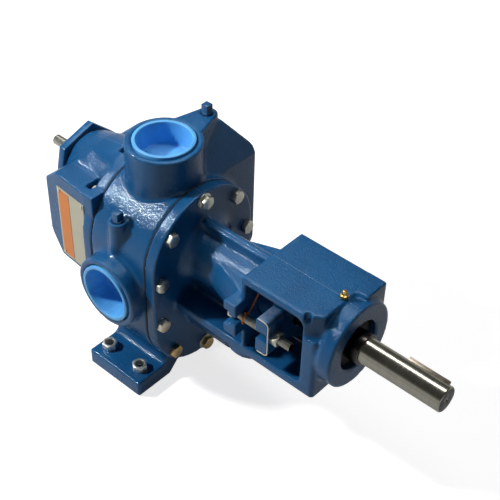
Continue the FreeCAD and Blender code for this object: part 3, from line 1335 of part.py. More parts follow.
def make_port_caps():
    """The two plastic shipping plugs, one in each port."""
    depth = "cap_cup_depth + cap_base_thickness - cap_rim_stand_out"
    port_cap("top_cap", "top_port_cap", ("0", "0", f"top_port_level - ({depth})"), "+z")
    port_cap("side_cap", "side_port_cap", ("0", f"{depth} - side_port_reach", "middle_height"), "-y")


def make_pipe_plugs():
    """A square-head pipe plug in each gauge boss."""
    plugs = []
    for name, reach, top in (("top_plug", "gauge_boss_reach", "top_port_level"),
                             ("side_plug", "-side_gauge_boss_reach", "side_gauge_level")):
        thread = rod(name + "_thread", "gauge_hole_radius - race_fit", "plug_thread_length + plug_collar",
                     ("gauge_boss_along", reach, top + " - plug_thread_length"), "+z")
        head = block(name + "_head", ("gauge_boss_along - plug_square / 2", reach + " - plug_square / 2",
                                      top + " + plug_collar"),
                     ("gauge_boss_along + plug_square / 2", reach + " + plug_square / 2",
                      top + " + plug_collar + plug_head_height"))
        plugs.append(joined(name, [thread, head]))
    node(grouped("plugs", plugs), "pipe_plugs")


def make_grease_fitting():
    """The grease nipple on top of the bearing hub."""
    place = ("grease_fitting_place", "0", "box_level")
    stem = rod("grease_stem", "grease_nipple_radius - race_fit", "grease_stem_length",
               ("grease_fitting_place", "0", "box_level - grease_stem_length"), "+z")
    base = crowned("grease_hex", "grease_hex_flats", "grease_hex_height", place, "+z", 15)
    tip = cone("grease_tip", "grease_nipple_radius", "grease_tip_radius",
               "grease_nipple_height - grease_hex_height",
               ("grease_fitting_place", "0", "box_level + grease_hex_height"), "+z")
    node(joined("grease_parts", [stem, base, tip]), "grease_fitting")


def make_label():
    """The blank label plate on the cover's side face and its drive screws."""
    slope = math.degrees(math.atan2(value("cover_half_width_front - cover_half_width_rear"),
                                    value("cover_rear + cover_flange_back")))
    turn = Rotation(Vector(0, 0, 1), -slope)
    front = Vector(value("cover_flange_back"), -value("cover_half_width_front"), value("label_level"))
    back_way = turn.multVec(Vector(-1, 0, 0))
    out_way = turn.multVec(Vector(0, -1, 0))
    start = front + back_way * (value("label_front") + value("cover_flange_back"))
    thickness = value("label_thickness")
    plate = doc.addObject("Part::Box", "label_sheet")
    bind(plate, {"Length": "label_width", "Width": "label_thickness", "Height": "label_height"})
    corner = start + back_way * value("label_width") + out_way * (thickness + value("label_gap"))
    plate.Placement = Placement(corner, turn)
    node(plate, "label_plate")
    screws = []
    inset = value("label_screw_inset")
    for along in (inset, value("label_width") - inset):
        for up in (inset, value("label_height") - inset):
            screw = doc.addObject("Part::Cylinder", f"label_screw_{len(screws)}")
            bind(screw, {"Radius": "label_screw_radius", "Height": "label_screw_height"})
            outward = thickness + 2 * value("label_gap")
            centre = start + back_way * along + out_way * outward + Vector(0, 0, up)
            screw.Placement = Placement(centre, turn.multiply(TOWARDS["-y"]))
            screws.append(screw)
    node(grouped("label_screw_set", screws), "label_screws")


def check_and_write():
    """Stops if anything failed, then writes one file for each piece."""
    doc.recompute()
    failed = [thing.Name for thing in doc.Objects if "Invalid" in thing.State or "Error" in thing.State]
    for thing in NODES:
        shape = thing.Shape
        if shape.isNull() or not shape.isValid() or not shape.Solids:
            failed.append(thing.Label)
    if failed:
        raise RuntimeError("failed objects: " + ", ".join(failed))
    os.makedirs("parts", exist_ok=True)
    for thing in NODES:
        thing.Shape.exportStep(f"parts/{thing.Label}.step")
        box = thing.Shape.BoundBox
        print(f"{thing.Label}: solids {len(thing.Shape.Solids)}, X {box.XMin:.1f} {box.XMax:.1f}, "
              f"Y {box.YMin:.1f} {box.YMax:.1f}, Z {box.ZMin:.1f} {box.ZMax:.1f}")


sizes = fill_sheet("Sizes", SIZES, False)
places = fill_sheet("Places", PLACES, True)
make_gear_case()
make_gasket("bracket_gasket", "case_front", True)
make_gasket("faceplate_gasket", "case_rear - gasket_thickness", False)
make_flange_bolts()
make_bearing_bracket()
make_faceplate()
make_bushes()
make_gears()
make_shafts()
make_bearing()
make_packing()
make_gland()
make_tie_wire()
make_relief_valve()
make_port_caps()
make_pipe_plugs()
make_grease_fitting()
make_label()
check_and_write()
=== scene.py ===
"""The looks of a foot-mounted helical gear pump: skins, threads, wire, finishes, light and camera."""

import math

import bmesh
import bpy
import numpy as np
from mathutils import Matrix, Vector


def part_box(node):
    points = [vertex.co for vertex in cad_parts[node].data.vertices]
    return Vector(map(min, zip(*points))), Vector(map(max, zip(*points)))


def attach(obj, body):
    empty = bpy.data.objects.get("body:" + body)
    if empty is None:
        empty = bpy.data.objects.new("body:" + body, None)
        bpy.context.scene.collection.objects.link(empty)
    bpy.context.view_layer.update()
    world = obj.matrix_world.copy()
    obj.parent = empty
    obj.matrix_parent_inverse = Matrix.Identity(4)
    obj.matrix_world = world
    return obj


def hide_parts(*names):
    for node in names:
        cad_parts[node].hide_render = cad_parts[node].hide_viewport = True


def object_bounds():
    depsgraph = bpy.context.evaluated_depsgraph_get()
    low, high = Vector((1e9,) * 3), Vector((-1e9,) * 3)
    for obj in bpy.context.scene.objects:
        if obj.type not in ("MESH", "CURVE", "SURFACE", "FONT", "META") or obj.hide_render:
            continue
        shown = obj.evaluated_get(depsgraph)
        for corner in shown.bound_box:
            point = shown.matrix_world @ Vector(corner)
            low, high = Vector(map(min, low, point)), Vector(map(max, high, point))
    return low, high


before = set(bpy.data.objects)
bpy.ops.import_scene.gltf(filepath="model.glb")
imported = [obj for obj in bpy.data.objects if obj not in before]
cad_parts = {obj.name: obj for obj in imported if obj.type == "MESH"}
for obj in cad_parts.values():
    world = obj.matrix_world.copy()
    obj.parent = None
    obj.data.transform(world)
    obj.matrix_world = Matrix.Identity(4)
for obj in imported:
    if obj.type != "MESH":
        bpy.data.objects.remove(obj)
CAD_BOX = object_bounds()

MM = 0.001

# A gland bolt's head and thread. Its shank is drawn in to a share, to leave room for the thread.
BOLT_FLATS = 14.3 * MM
BOLT_RADIUS = 4.7625 * MM
BOLT_PITCH = 1.5875 * MM
BOLT_THREAD_DEPTH = 0.8 * MM
BARE_SHANK = 5 * MM
SHANK_SHARE = 0.8

# The relief valve's adjusting screw.
SCREW_RADIUS = 6.35 * MM
SCREW_PITCH = 1.954 * MM
SCREW_THREAD_DEPTH = 0.9 * MM

# The drive shaft from its collar to its free end.
BRIGHT_SHAFT_LENGTH = 96.5 * MM

# The even grids that the castings' skins start from.
CASE_VOXEL = 1.8 * MM
COVER_VOXEL = 1.7 * MM
GLAND_VOXEL = 1.0 * MM


def middle_of(node):
    """The middle of a CAD node's box."""
    low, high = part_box(node)
    return (low + high) / 2


# Places read from the CAD nodes.
SHAFT_HEIGHT = middle_of("drive_shaft").z
VALVE_HEIGHT = middle_of("relief_cap").z
COLLAR_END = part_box("drive_shaft")[1].x - BRIGHT_SHAFT_LENGTH
GLAND_BOLT_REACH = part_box("gland_bolts")[1].y - BOLT_FLATS / math.sqrt(3)
LABEL_LOW, LABEL_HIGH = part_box("label_plate")


# Meshes

def mesh_piece(name, points, faces, body, finish, hides=()):
    """A smooth-shaded piece from points and faces, which rides on a body and may stand for CAD nodes."""
    mesh = bpy.data.meshes.new(name)
    mesh.from_pydata(points.reshape(-1, 3).tolist(), [], faces)
    return dressed(name, mesh, body, finish, hides)


def dressed(name, mesh, body, finish, hides=(), sharp=35):
    """Puts a finished mesh in the scene with its finish, sharp past an angle, on its body."""
    mesh.polygons.foreach_set("use_smooth", np.ones(len(mesh.polygons), bool))
    mesh.set_sharp_from_angle(angle=math.radians(sharp))
    mesh.materials.clear()
    mesh.materials.append(finish)
    piece = bpy.data.objects.new(name, mesh)
    bpy.context.scene.collection.objects.link(piece)
    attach(piece, body)
    if hides:
        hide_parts(*hides)
    return piece


def merged_copy(node):
    """A copy of a CAD node's mesh with its loose triangles merged and its flat faces made whole."""
    same_point = 0.002 * MM
    flat_angle = math.radians(0.2)
    work = bmesh.new()
    work.from_mesh(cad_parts[node].data)
    bmesh.ops.remove_doubles(work, verts=work.verts, dist=same_point)
    bmesh.ops.dissolve_limit(work, angle_limit=flat_angle, verts=work.verts, edges=work.edges)
    mesh = bpy.data.meshes.new(node + "_merged")
    work.to_mesh(mesh)
    work.free()
    return mesh


def modified(mesh, name, kind, **settings):
    """The mesh that a modifier makes out of a mesh."""
    holder = bpy.data.objects.new(name + "_work", mesh)
    bpy.context.scene.collection.objects.link(holder)
    modifier = holder.modifiers.new(kind.lower(), kind)
    for key, setting in settings.items():
        setattr(modifier, key, setting)
    graph = bpy.context.evaluated_depsgraph_get()
    made = bpy.data.meshes.new_from_object(holder.evaluated_get(graph))
    bpy.data.objects.remove(holder)
    return made


def relaxed(points, edges, rounds):
    """Every point moved half-way to the mean of its neighbours, several times over."""
    count = len(points)
    near, far = edges[:, 0], edges[:, 1]
    share = np.bincount(near, minlength=count) + np.bincount(far, minlength=count)
    share = np.maximum(share, 1)[:, None]
    for _ in range(rounds):
        total = np.empty_like(points)
        for axis in range(3):
            total[:, axis] = (np.bincount(near, points[far, axis], count)
                              + np.bincount(far, points[near, axis], count))
        points = points / 2 + total / share / 2
    return points


def point_array(mesh, kind="co"):
    """A mesh's points, or their normals, as an array."""
    given = np.empty(len(mesh.vertices) * 3, np.float32)
    mesh.vertices.foreach_get(kind, given)
    return given.reshape(-1, 3).astype(float)


def cast_skin(node, body, finish, voxel, rounds=14):
    """A casting's skin, with fillets in its corners and lightly broken edges.

    The CAD solid is meshed again on an even grid, whose points go back to the nearest place on the
    solid and are then relaxed. A point that went further than most of a voxel stays on the grid.
    A point that relaxing moved outwards lies in a corner and keeps its whole move, which is the
    fillet; one that it moved inwards lies on an edge and keeps only a share of it."""
    furthest = voxel * 0.7
    edge_share = 0.1
    solid = merged_copy(node)
    grid = modified(solid, node, "REMESH", mode="VOXEL", voxel_size=voxel)
    normals = point_array(grid, "normal")
    edges = np.empty(len(grid.edges) * 2, np.int32)
    grid.edges.foreach_get("vertices", edges)
    edges = edges.reshape(-1, 2)
    target = bpy.data.objects.new(node + "_target", solid)
    bpy.context.scene.collection.objects.link(target)
    mesh = modified(grid, node, "SHRINKWRAP", target=target, wrap_method="NEAREST_SURFACEPOINT")
    bpy.data.objects.remove(target)
    rough = point_array(grid)
    points = point_array(mesh)
    astray = np.linalg.norm(points - rough, axis=1) > furthest
    points[astray] = rough[astray]
    smooth = relaxed(points, edges, rounds)
    move = ((smooth - points) * normals).sum(1)
    kept = np.where(move > 0, move, move * edge_share)
    points = relaxed(points + normals * kept[:, None], edges, 1)
    mesh.vertices.foreach_set("co", points.astype(np.float32).ravel())
    mesh.update()
    return dressed(node + "_skin", mesh, body, finish, (node,), sharp=180)


def machined(node, body, finish, edge):
    """A turned or milled piece: the CAD solid with every edge broken by a small round."""
    mesh = modified(merged_copy(node), node, "BEVEL", width=edge, segments=2, limit_method="ANGLE",
                    angle_limit=math.radians(35), harden_normals=False, use_clamp_overlap=True)
    return dressed(node + "_finished", mesh, body, finish, (node,), sharp=40)


def slim_shanks(mesh, reach, up):
    """Draws the shanks of the two bolts at reach either side of the middle in towards their own lines.

    A point nearer to its bolt's line than just over the bolt's radius comes in to a share of its
    distance, which leaves room for a thread around it; the head's points stay."""
    shank = BOLT_RADIUS * 1.05
    points = point_array(mesh)
    line = np.stack([np.sign(points[:, 1]) * reach, np.full(len(points), up)], -1)
    out = points[:, 1:] - line
    near = np.linalg.norm(out, axis=1) < shank
    points[:, 1:] = np.where(near[:, None], line + out * SHANK_SHARE, points[:, 1:])
    mesh.vertices.foreach_set("co", points.astype(np.float32).ravel())
    mesh.update()


def ring_faces(rings, around):
    """Quads between rings of points, each joined to the next, and a flat cap on the first and the last."""
    index = np.arange(rings * around).reshape(rings, around)
    here, there = index[:-1], index[1:]
    quads = np.stack([here, np.roll(here, -1, 1), np.roll(there, -1, 1), there], -1).reshape(-1, 4)
    return quads.tolist() + [index[0][::-1].tolist(), index[-1].tolist()]


def screw_thread(name, body, finish, start, end, across, up, radius, pitch, depth, hides=()):
    """A cut thread on a round bar along X.

    The radius at a point is the crest's, less the depth times a triangle wave of the place along X
    over the pitch less the angle over a full turn; the wave deepens over the first pitch at each
    end, and the bar's last half pitch is chamfered."""
    around = 40
    rings_in_pitch = 8
    along = int((end - start) / pitch * rings_in_pitch)
    place = np.linspace(start, end, along)[:, None]
    angle = np.linspace(0, 2 * np.pi, around, endpoint=False)[None, :]
    phase = (place / pitch - angle / (2 * np.pi)) % 1
    wave = np.abs(phase * 2 - 1)
    inside = np.minimum(place - start, end - place)
    size = radius - depth * wave * np.clip(inside / pitch, 0, 1) - np.clip(pitch / 2 - inside, 0, 1)
    points = np.stack([place + 0 * angle, across + size * np.cos(angle), up + size * np.sin(angle)], -1)
    return mesh_piece(name, points, ring_faces(along, around), body, finish, hides)


def bent_wire(name, path, radius, body, finish, hides=()):
    """A round wire along a smooth path.

    Each ring of points stands square to the path: one of its directions is the path's own turned
    away from X, and the other is square to both."""
    around = 12
    run = np.gradient(path, axis=0)
    run /= np.linalg.norm(run, axis=1)[:, None]
    side = np.cross(run, np.array([1.0, 0.02, 0.01]))
    side /= np.linalg.norm(side, axis=1)[:, None]
    lift = np.cross(run, side)
    angle = np.linspace(0, 2 * np.pi, around, endpoint=False)[None, :, None]
    points = path[:, None] + radius * (np.cos(angle) * side[:, None] + np.sin(angle) * lift[:, None])
    return mesh_piece(name, points, ring_faces(len(path), around), body, finish, hides)


# Finishes

def group(name, inputs, outputs):
    """An empty shader node group with named inputs and outputs; an input with no value is a place."""
    tree = bpy.data.node_groups.new(name, "ShaderNodeTree")
    for label, start in inputs.items():
        kind = "NodeSocketVector" if start is None else "NodeSocketFloat"
        socket = tree.interface.new_socket(label, in_out="INPUT", socket_type=kind)
        if start is not None:
            socket.default_value = start
    for label in outputs:
        tree.interface.new_socket(label, in_out="OUTPUT", socket_type="NodeSocketFloat")
    return tree, tree.nodes.new("NodeGroupInput"), tree.nodes.new("NodeGroupOutput")


def put(tree, kind, links=None, **settings):
    """A node with its settings; links gives each input socket a value or another node's output."""
    made = tree.nodes.new("ShaderNode" + kind)
    for key, setting in settings.items():
        setattr(made, key, setting)
    for socket, entry in (links or {}).items():
        if isinstance(entry, bpy.types.NodeSocket):
            tree.links.new(entry, made.inputs[socket])
        else:
            made.inputs[socket].default_value = entry
    return made


def noise(tree, place, scale, detail=3.0, roughness=0.55):
    """A noise value at a place."""
    return put(tree, "TexNoise", {"Vector": place, "Scale": scale, "Detail": detail,
                                  "Roughness": roughness}).outputs["Fac"]


def lined_noise(tree, along, scale, detail):
    """A noise value that changes along one measure only."""
    return put(tree, "TexNoise", {"W": along, "Scale": scale, "Detail": detail},
               noise_dimensions="1D").outputs["Fac"]


def math_of(tree, operation, first, second=0.0):
    """One sum of two values."""
    return put(tree, "Math", {0: first, 1: second}, operation=operation).outputs[0]


def plus(tree, first, second):
    """Two values added."""
    return math_of(tree, "ADD", first, second)


def times(tree, first, second):
    """Two values multiplied."""
    return math_of(tree, "MULTIPLY", first, second)


def part_of(tree, vector, axis):
    """One of a vector's three parts."""
    return put(tree, "SeparateXYZ", {0: vector}).outputs[axis]


def facing(tree, axis):
    """How far the surface faces along an axis, from minus one to one."""
    return part_of(tree, put(tree, "NewGeometry").outputs["Normal"], axis)


def stretch(tree, value, low, high, to_low=0.0, to_high=1.0):
    """A value spread from one span to another, and held inside it."""
    return put(tree, "MapRange", {0: value, 1: low, 2: high, 3: to_low, 4: to_high}).outputs[0]


def mix(tree, share, first, second):
    """A colour between two."""
    made = tree.nodes.new("ShaderNodeMix")
    made.data_type = "RGBA"
    for number, entry in ((0, share), (6, first), (7, second)):
        if isinstance(entry, bpy.types.NodeSocket):
            tree.links.new(entry, made.inputs[number])
        else:
            made.inputs[number].default_value = entry
    return made.outputs[2]


def cast_relief_group():
    """Sand-cast metal under paint: slow waves, grains of sand and a few pits, as a height."""
    tree, given, result = group("cast_relief", {"Place": None, "Grain": 700.0, "Pits": 0.3, "Waves": 0.6},
                                ["Height", "Tone"])
    place = given.outputs["Place"]
    grain = noise(tree, place, given.outputs["Grain"], 2.0, 0.5)
    cell = put(tree, "TexVoronoi", {"Vector": place, "Scale": 260.0, "Randomness": 1.0}).outputs["Distance"]
    pit = times(tree, stretch(tree, cell, 0.0, 0.22, 1.0, 0.0), given.outputs["Pits"])
    lumps = times(tree, noise(tree, place, 60.0, 2.0), given.outputs["Waves"])
    height = math_of(tree, "SUBTRACT", plus(tree, lumps, grain), pit)
    tree.links.new(height, result.inputs["Height"])
    tree.links.new(noise(tree, place, 14.0, 4.0), result.inputs["Tone"])
    return tree


def parting_group():
    """The ridge that a mould's parting line leaves along the middle of a casting's top, as a height."""
    tree, given, result = group("parting_line", {"Place": None, "Half width": 0.7 * MM, "Stray": 1.5 * MM},
                                ["Height"])
    place, stray = given.outputs["Place"], given.outputs["Stray"]
    drift = math_of(tree, "SUBTRACT", noise(tree, place, 40.0, 2.0), 0.5)
    strayed = plus(tree, part_of(tree, place, "Y"), times(tree, drift, stray))
    share = math_of(tree, "DIVIDE", math_of(tree, "ABSOLUTE", strayed), given.outputs["Half width"])
    ridge = times(tree, stretch(tree, share, 0.2, 1.0, 1.0, 0.0), stretch(tree, facing(tree, "Z"), 0.6, 0.9))
    tree.links.new(ridge, result.inputs["Height"])
    return tree


def edge_highlight_hollow_shade_group():
    """Painted highlight on edges and painted shade in hollows, from how far the surface bends, and upward
    faces paler in patches.
    """
    tree, given, result = group("edge_highlight_hollow_shade", {"Place": None, "Break": 120.0}, ["Edge", "Hollow shade", "Paler tops"])
    bend = put(tree, "NewGeometry").outputs["Pointiness"]
    ragged = noise(tree, given.outputs["Place"], given.outputs["Break"], 4.0, 0.5)
    broken_bend = plus(tree, bend, stretch(tree, ragged, 0.3, 0.7, -0.02, 0.02))
    # Painted highlight where the surface bends outwards, painted shade where it bends inwards; upward faces
    # paler in patches.
    tree.links.new(stretch(tree, broken_bend, 0.53, 0.6), result.inputs["Edge"])
    tree.links.new(stretch(tree, broken_bend, 0.49, 0.42), result.inputs["Hollow shade"])
    tree.links.new(times(tree, stretch(tree, facing(tree, "Z"), 0.5, 1.0), ragged), result.inputs["Paler tops"])
    return tree


def turned_group():
    """Fine rings left by a lathe tool, about a line along X at a height."""
    tree, given, result = group("turned_rings", {"Place": None, "Height of axis": SHAFT_HEIGHT,
                                                 "Lines": 2600.0}, ["Height", "Streak"])
    along, across, level = (part_of(tree, given.outputs["Place"], axis) for axis in "XYZ")
    up = math_of(tree, "SUBTRACT", level, given.outputs["Height of axis"])
    out = math_of(tree, "SQRT", plus(tree, times(tree, up, up), times(tree, across, across)))
    track = plus(tree, along, out)
    tree.links.new(lined_noise(tree, track, given.outputs["Lines"], 3.0), result.inputs["Height"])
    tree.links.new(lined_noise(tree, track, 160.0, 2.0), result.inputs["Streak"])
    return tree


def smear_group():
    """Finger marks, oil film and stains: broad soft patches, and fine specks."""
    tree, given, result = group("handling_marks", {"Place": None, "Patch": 30.0}, ["Mark", "Speck"])
    place = given.outputs["Place"]
    patch = noise(tree, place, given.outputs["Patch"], 5.0, 0.65)
    tree.links.new(stretch(tree, patch, 0.35, 0.7), result.inputs["Mark"])
    tree.links.new(stretch(tree, noise(tree, place, 900.0, 2.0), 0.6, 0.75), result.inputs["Speck"])
    return tree


GROUPS = {"cast": cast_relief_group(), "parting": parting_group(), "highlight_and_shade": edge_highlight_hollow_shade_group(),
          "turned": turned_group(), "marks": smear_group()}


def main_shader(made):
    """A material's main shader."""
    return made.node_tree.nodes["Principled BSDF"]


def finish_named(name):
    """A new material, its node tree, its main shader and the Object coordinates."""
    made = bpy.data.materials.new(name)
    made.use_nodes = True
    tree = made.node_tree
    place = tree.nodes.new("ShaderNodeTexCoord").outputs["Object"]
    return made, tree, main_shader(made), place


def grouped(tree, kind, place, **values):
    """One of the shared effects, placed in a material; a value's name has _ for each space."""
    made = tree.nodes.new("ShaderNodeGroup")
    made.node_tree = GROUPS[kind]
    tree.links.new(place, made.inputs["Place"])
    for label, entry in values.items():
        made.inputs[label.replace("_", " ")].default_value = entry
    return made.outputs


def repaint(made, share, colour):
    """Lays one more colour over a material's own, by a share at each place."""
    tree, shader = made.node_tree, main_shader(made)
    under = shader.inputs["Base Color"].links[0].from_socket
    tree.links.new(mix(tree, share, under, colour), shader.inputs["Base Color"])


def raise_by(tree, shader, height, strength, distance):
    """Turns a height into the shader's normal."""
    bump = put(tree, "Bump", {"Height": height, "Strength": strength, "Distance": distance})
    tree.links.new(bump.outputs["Normal"], shader.inputs["Normal"])


def enamel(name, colour, deep, pale, relief=0.85, grain=700.0, depth=0.5, waves=0.6):
    """Glossy blue enamel over a rough casting: tone drifts, painted highlight on edges and along the parting
    ridge, painted shade in hollows, upward faces a little paler.
    """
    gloss = 0.07
    made, tree, shader, place = finish_named(name)
    cast = grouped(tree, "cast", place, Grain=grain, Waves=waves)
    highlight_and_shade = grouped(tree, "highlight_and_shade", place)
    marks = grouped(tree, "marks", place)
    base = mix(tree, stretch(tree, cast["Tone"], 0.35, 0.65), colour, deep)
    ridge = grouped(tree, "parting", place)["Height"]
    # Painted shade in hollows, painted highlight on edges and along the parting ridge, and upward faces a
    # little paler in patches.
    for mask, strength, tint in ((highlight_and_shade["Hollow shade"], 0.6, deep), (highlight_and_shade["Edge"], 0.3, pale),
                                 (highlight_and_shade["Paler tops"], 0.05, pale), (ridge, 0.4, pale)):
        base = mix(tree, times(tree, mask, strength), base, tint)
    tree.links.new(base, shader.inputs["Base Color"])
    tree.links.new(stretch(tree, marks["Mark"], 0.0, 1.0, gloss, gloss + 0.1), shader.inputs["Roughness"])
    shader.inputs["Specular IOR Level"].default_value = 0.42
    shader.inputs["Specular Tint"].default_value = (0.7, 0.88, 1.0, 1)
    raise_by(tree, shader, plus(tree, cast["Height"], ridge), relief, depth * MM)
    return made


def clip_enamel(colour, deep, bare):
    """Enamel on the gland clips' sheet steel, with the two cut edges left bare and pale."""
    made = enamel("clip_enamel", colour, deep, bare, relief=0.2, grain=900.0, depth=0.3)
    tree = made.node_tree
    repaint(made, stretch(tree, math_of(tree, "ABSOLUTE", facing(tree, "Y")), 0.55, 0.75), bare)
    return made


def plated(name, colour, stain, rough=0.28, low_colour=None):
    """Plated steel: satin, with a faint drift of tint, specks and rolling marks.

    A low colour is the one the pieces nearest the foot have turned to."""
    low_end, high_start = 90 * MM, 120 * MM
    made, tree, shader, place = finish_named(name)
    if low_colour:
        height = part_of(tree, place, "Z")
        colour = mix(tree, stretch(tree, height, low_end, high_start), low_colour, colour)
    marks = grouped(tree, "marks", place, Patch=140.0)
    drift = noise(tree, place, 220.0, 4.0)
    base = mix(tree, times(tree, stretch(tree, drift, 0.4, 0.65), 0.5), colour, stain)
    base = mix(tree, times(tree, marks["Speck"], 0.35), base, (0.16, 0.14, 0.11, 1))
    tree.links.new(base, shader.inputs["Base Color"])
    shader.inputs["Metallic"].default_value = 0.9
    tree.links.new(stretch(tree, marks["Mark"], 0.0, 1.0, rough, rough + 0.14), shader.inputs["Roughness"])
    raise_by(tree, shader, noise(tree, place, 1500.0, 2.0), 0.12, 0.2 * MM)
    return made


def turned_steel(name, colour, rough, axis_height, lines=2600.0, relief=0.1, streak=0.25):
    """Turned or ground steel: rings from the tool, broad streaks in tone, a little oil."""
    made, tree, shader, place = finish_named(name)
    rings = grouped(tree, "turned", place, Height_of_axis=axis_height, Lines=lines)
    marks = grouped(tree, "marks", place, Patch=60.0)
    dark = tuple(part * (1 - streak) for part in colour[:3]) + (1,)
    base = mix(tree, stretch(tree, rings["Streak"], 0.35, 0.65), colour, dark)
    base = mix(tree, times(tree, marks["Speck"], 0.2), base, (0.2, 0.17, 0.13, 1))
    tree.links.new(base, shader.inputs["Base Color"])
    shader.inputs["Metallic"].default_value = 1.0
    shader.inputs["Anisotropic"].default_value = 0.5
    uneven = plus(tree, times(tree, rings["Height"], 0.1), times(tree, marks["Mark"], 0.05))
    tree.links.new(plus(tree, uneven, rough), shader.inputs["Roughness"])
    raise_by(tree, shader, rings["Height"], relief, 0.1 * MM)
    return made


def ground_shaft():
    """The drive shaft: bright ground steel, near black back from its bright length, its sawn end face near
    black as painted shade.
    """
    made = turned_steel("ground_shaft", (0.37, 0.36, 0.3, 1), 0.17, SHAFT_HEIGHT, streak=0.08)
    tree = made.node_tree
    along = part_of(tree, tree.nodes["Texture Coordinate"].outputs["Object"], "X")
    blur = 0.5 * MM
    # Near black back from the bright length.
    repaint(made, stretch(tree, along, COLLAR_END + blur, COLLAR_END - blur), (0.05, 0.045, 0.04, 1))
    # Painted shade: faces turned along X, such as the shaft's end, near black.
    repaint(made, stretch(tree, facing(tree, "X"), 0.75, 0.95), (0.05, 0.05, 0.05, 1))
    return made


def moulded_plastic(name, colour, shade):
    """Moulded polyethylene: waxy, faint flow marks, scuffs on its rim."""
    made, tree, shader, place = finish_named(name)
    marks = grouped(tree, "marks", place, Patch=50.0)
    flow = noise(tree, place, 35.0)
    base = mix(tree, stretch(tree, flow, 0.35, 0.65), colour, shade)
    base = mix(tree, times(tree, marks["Speck"], 0.12), base, (0.75, 0.85, 0.95, 1))
    tree.links.new(base, shader.inputs["Base Color"])
    tree.links.new(stretch(tree, marks["Mark"], 0.0, 1.0, 0.34, 0.48), shader.inputs["Roughness"])
    shader.inputs["Subsurface Weight"].default_value = 0.15
    shader.inputs["Subsurface Radius"].default_value = (2 * MM, 3 * MM, 6 * MM)
    raise_by(tree, shader, noise(tree, place, 700.0, 2.0), 0.08, 0.3 * MM)
    return made


def sheet_gasket():
    """Compressed black sheet, its cut edge fibrous."""
    made, tree, shader, place = finish_named("gasket_sheet")
    fibre = noise(tree, place, 1800.0, 4.0)
    black = mix(tree, fibre, (0.012, 0.012, 0.014, 1), (0.05, 0.05, 0.055, 1))
    tree.links.new(black, shader.inputs["Base Color"])
    tree.links.new(stretch(tree, fibre, 0.3, 0.7, 0.6, 0.85), shader.inputs["Roughness"])
    raise_by(tree, shader, fibre, 0.4, 0.2 * MM)
    return made


def braided_packing():
    """Square-braided packing: slanted strands both ways, darkened with graphite."""
    made, tree, shader, place = finish_named("braided_packing")
    strands = put(tree, "TexWave", {"Vector": place, "Scale": 260.0, "Distortion": 1.5, "Detail": 1.0},
                  bands_direction="DIAGONAL").outputs["Fac"]
    grey = mix(tree, strands, (0.03, 0.03, 0.03, 1), (0.17, 0.16, 0.14, 1))
    tree.links.new(grey, shader.inputs["Base Color"])
    tree.links.new(stretch(tree, strands, 0.0, 1.0, 0.75, 0.5), shader.inputs["Roughness"])
    raise_by(tree, shader, strands, 0.6, 0.6 * MM)
    return made


def blank_label():
    """A blank printed film: an orange band with a dark line beside it, on cream."""
    margin = 2.2 * MM
    line_half_width = 0.5 * MM
    band_share = 0.44
    made, tree, shader, place = finish_named("label_film")
    along, up = part_of(tree, place, "X"), part_of(tree, place, "Z")
    band_end = LABEL_LOW.x + (LABEL_HIGH.x - LABEL_LOW.x) * band_share
    after = math_of(tree, "GREATER_THAN", along, LABEL_LOW.x + margin)
    before = math_of(tree, "LESS_THAN", along, band_end)
    above = math_of(tree, "GREATER_THAN", up, LABEL_LOW.z + margin)
    below = math_of(tree, "LESS_THAN", up, LABEL_HIGH.z - margin)
    band = times(tree, times(tree, after, before), times(tree, above, below))
    line = math_of(tree, "COMPARE", along, band_end)
    line.node.inputs[2].default_value = line_half_width
    faded = noise(tree, place, 60.0, 4.0)
    cream = mix(tree, faded, (0.46, 0.43, 0.31, 1), (0.56, 0.53, 0.4, 1))
    orange = mix(tree, faded, (0.66, 0.17, 0.01, 1), (0.76, 0.24, 0.02, 1))
    base = mix(tree, band, cream, orange)
    base = mix(tree, times(tree, line, below), base, (0.05, 0.045, 0.04, 1))
    tree.links.new(base, shader.inputs["Base Color"])
    tree.links.new(stretch(tree, faded, 0.3, 0.7, 0.32, 0.45), shader.inputs["Roughness"])
    raise_by(tree, shader, noise(tree, place, 500.0, 2.0), 0.05, 0.2 * MM)
    return made


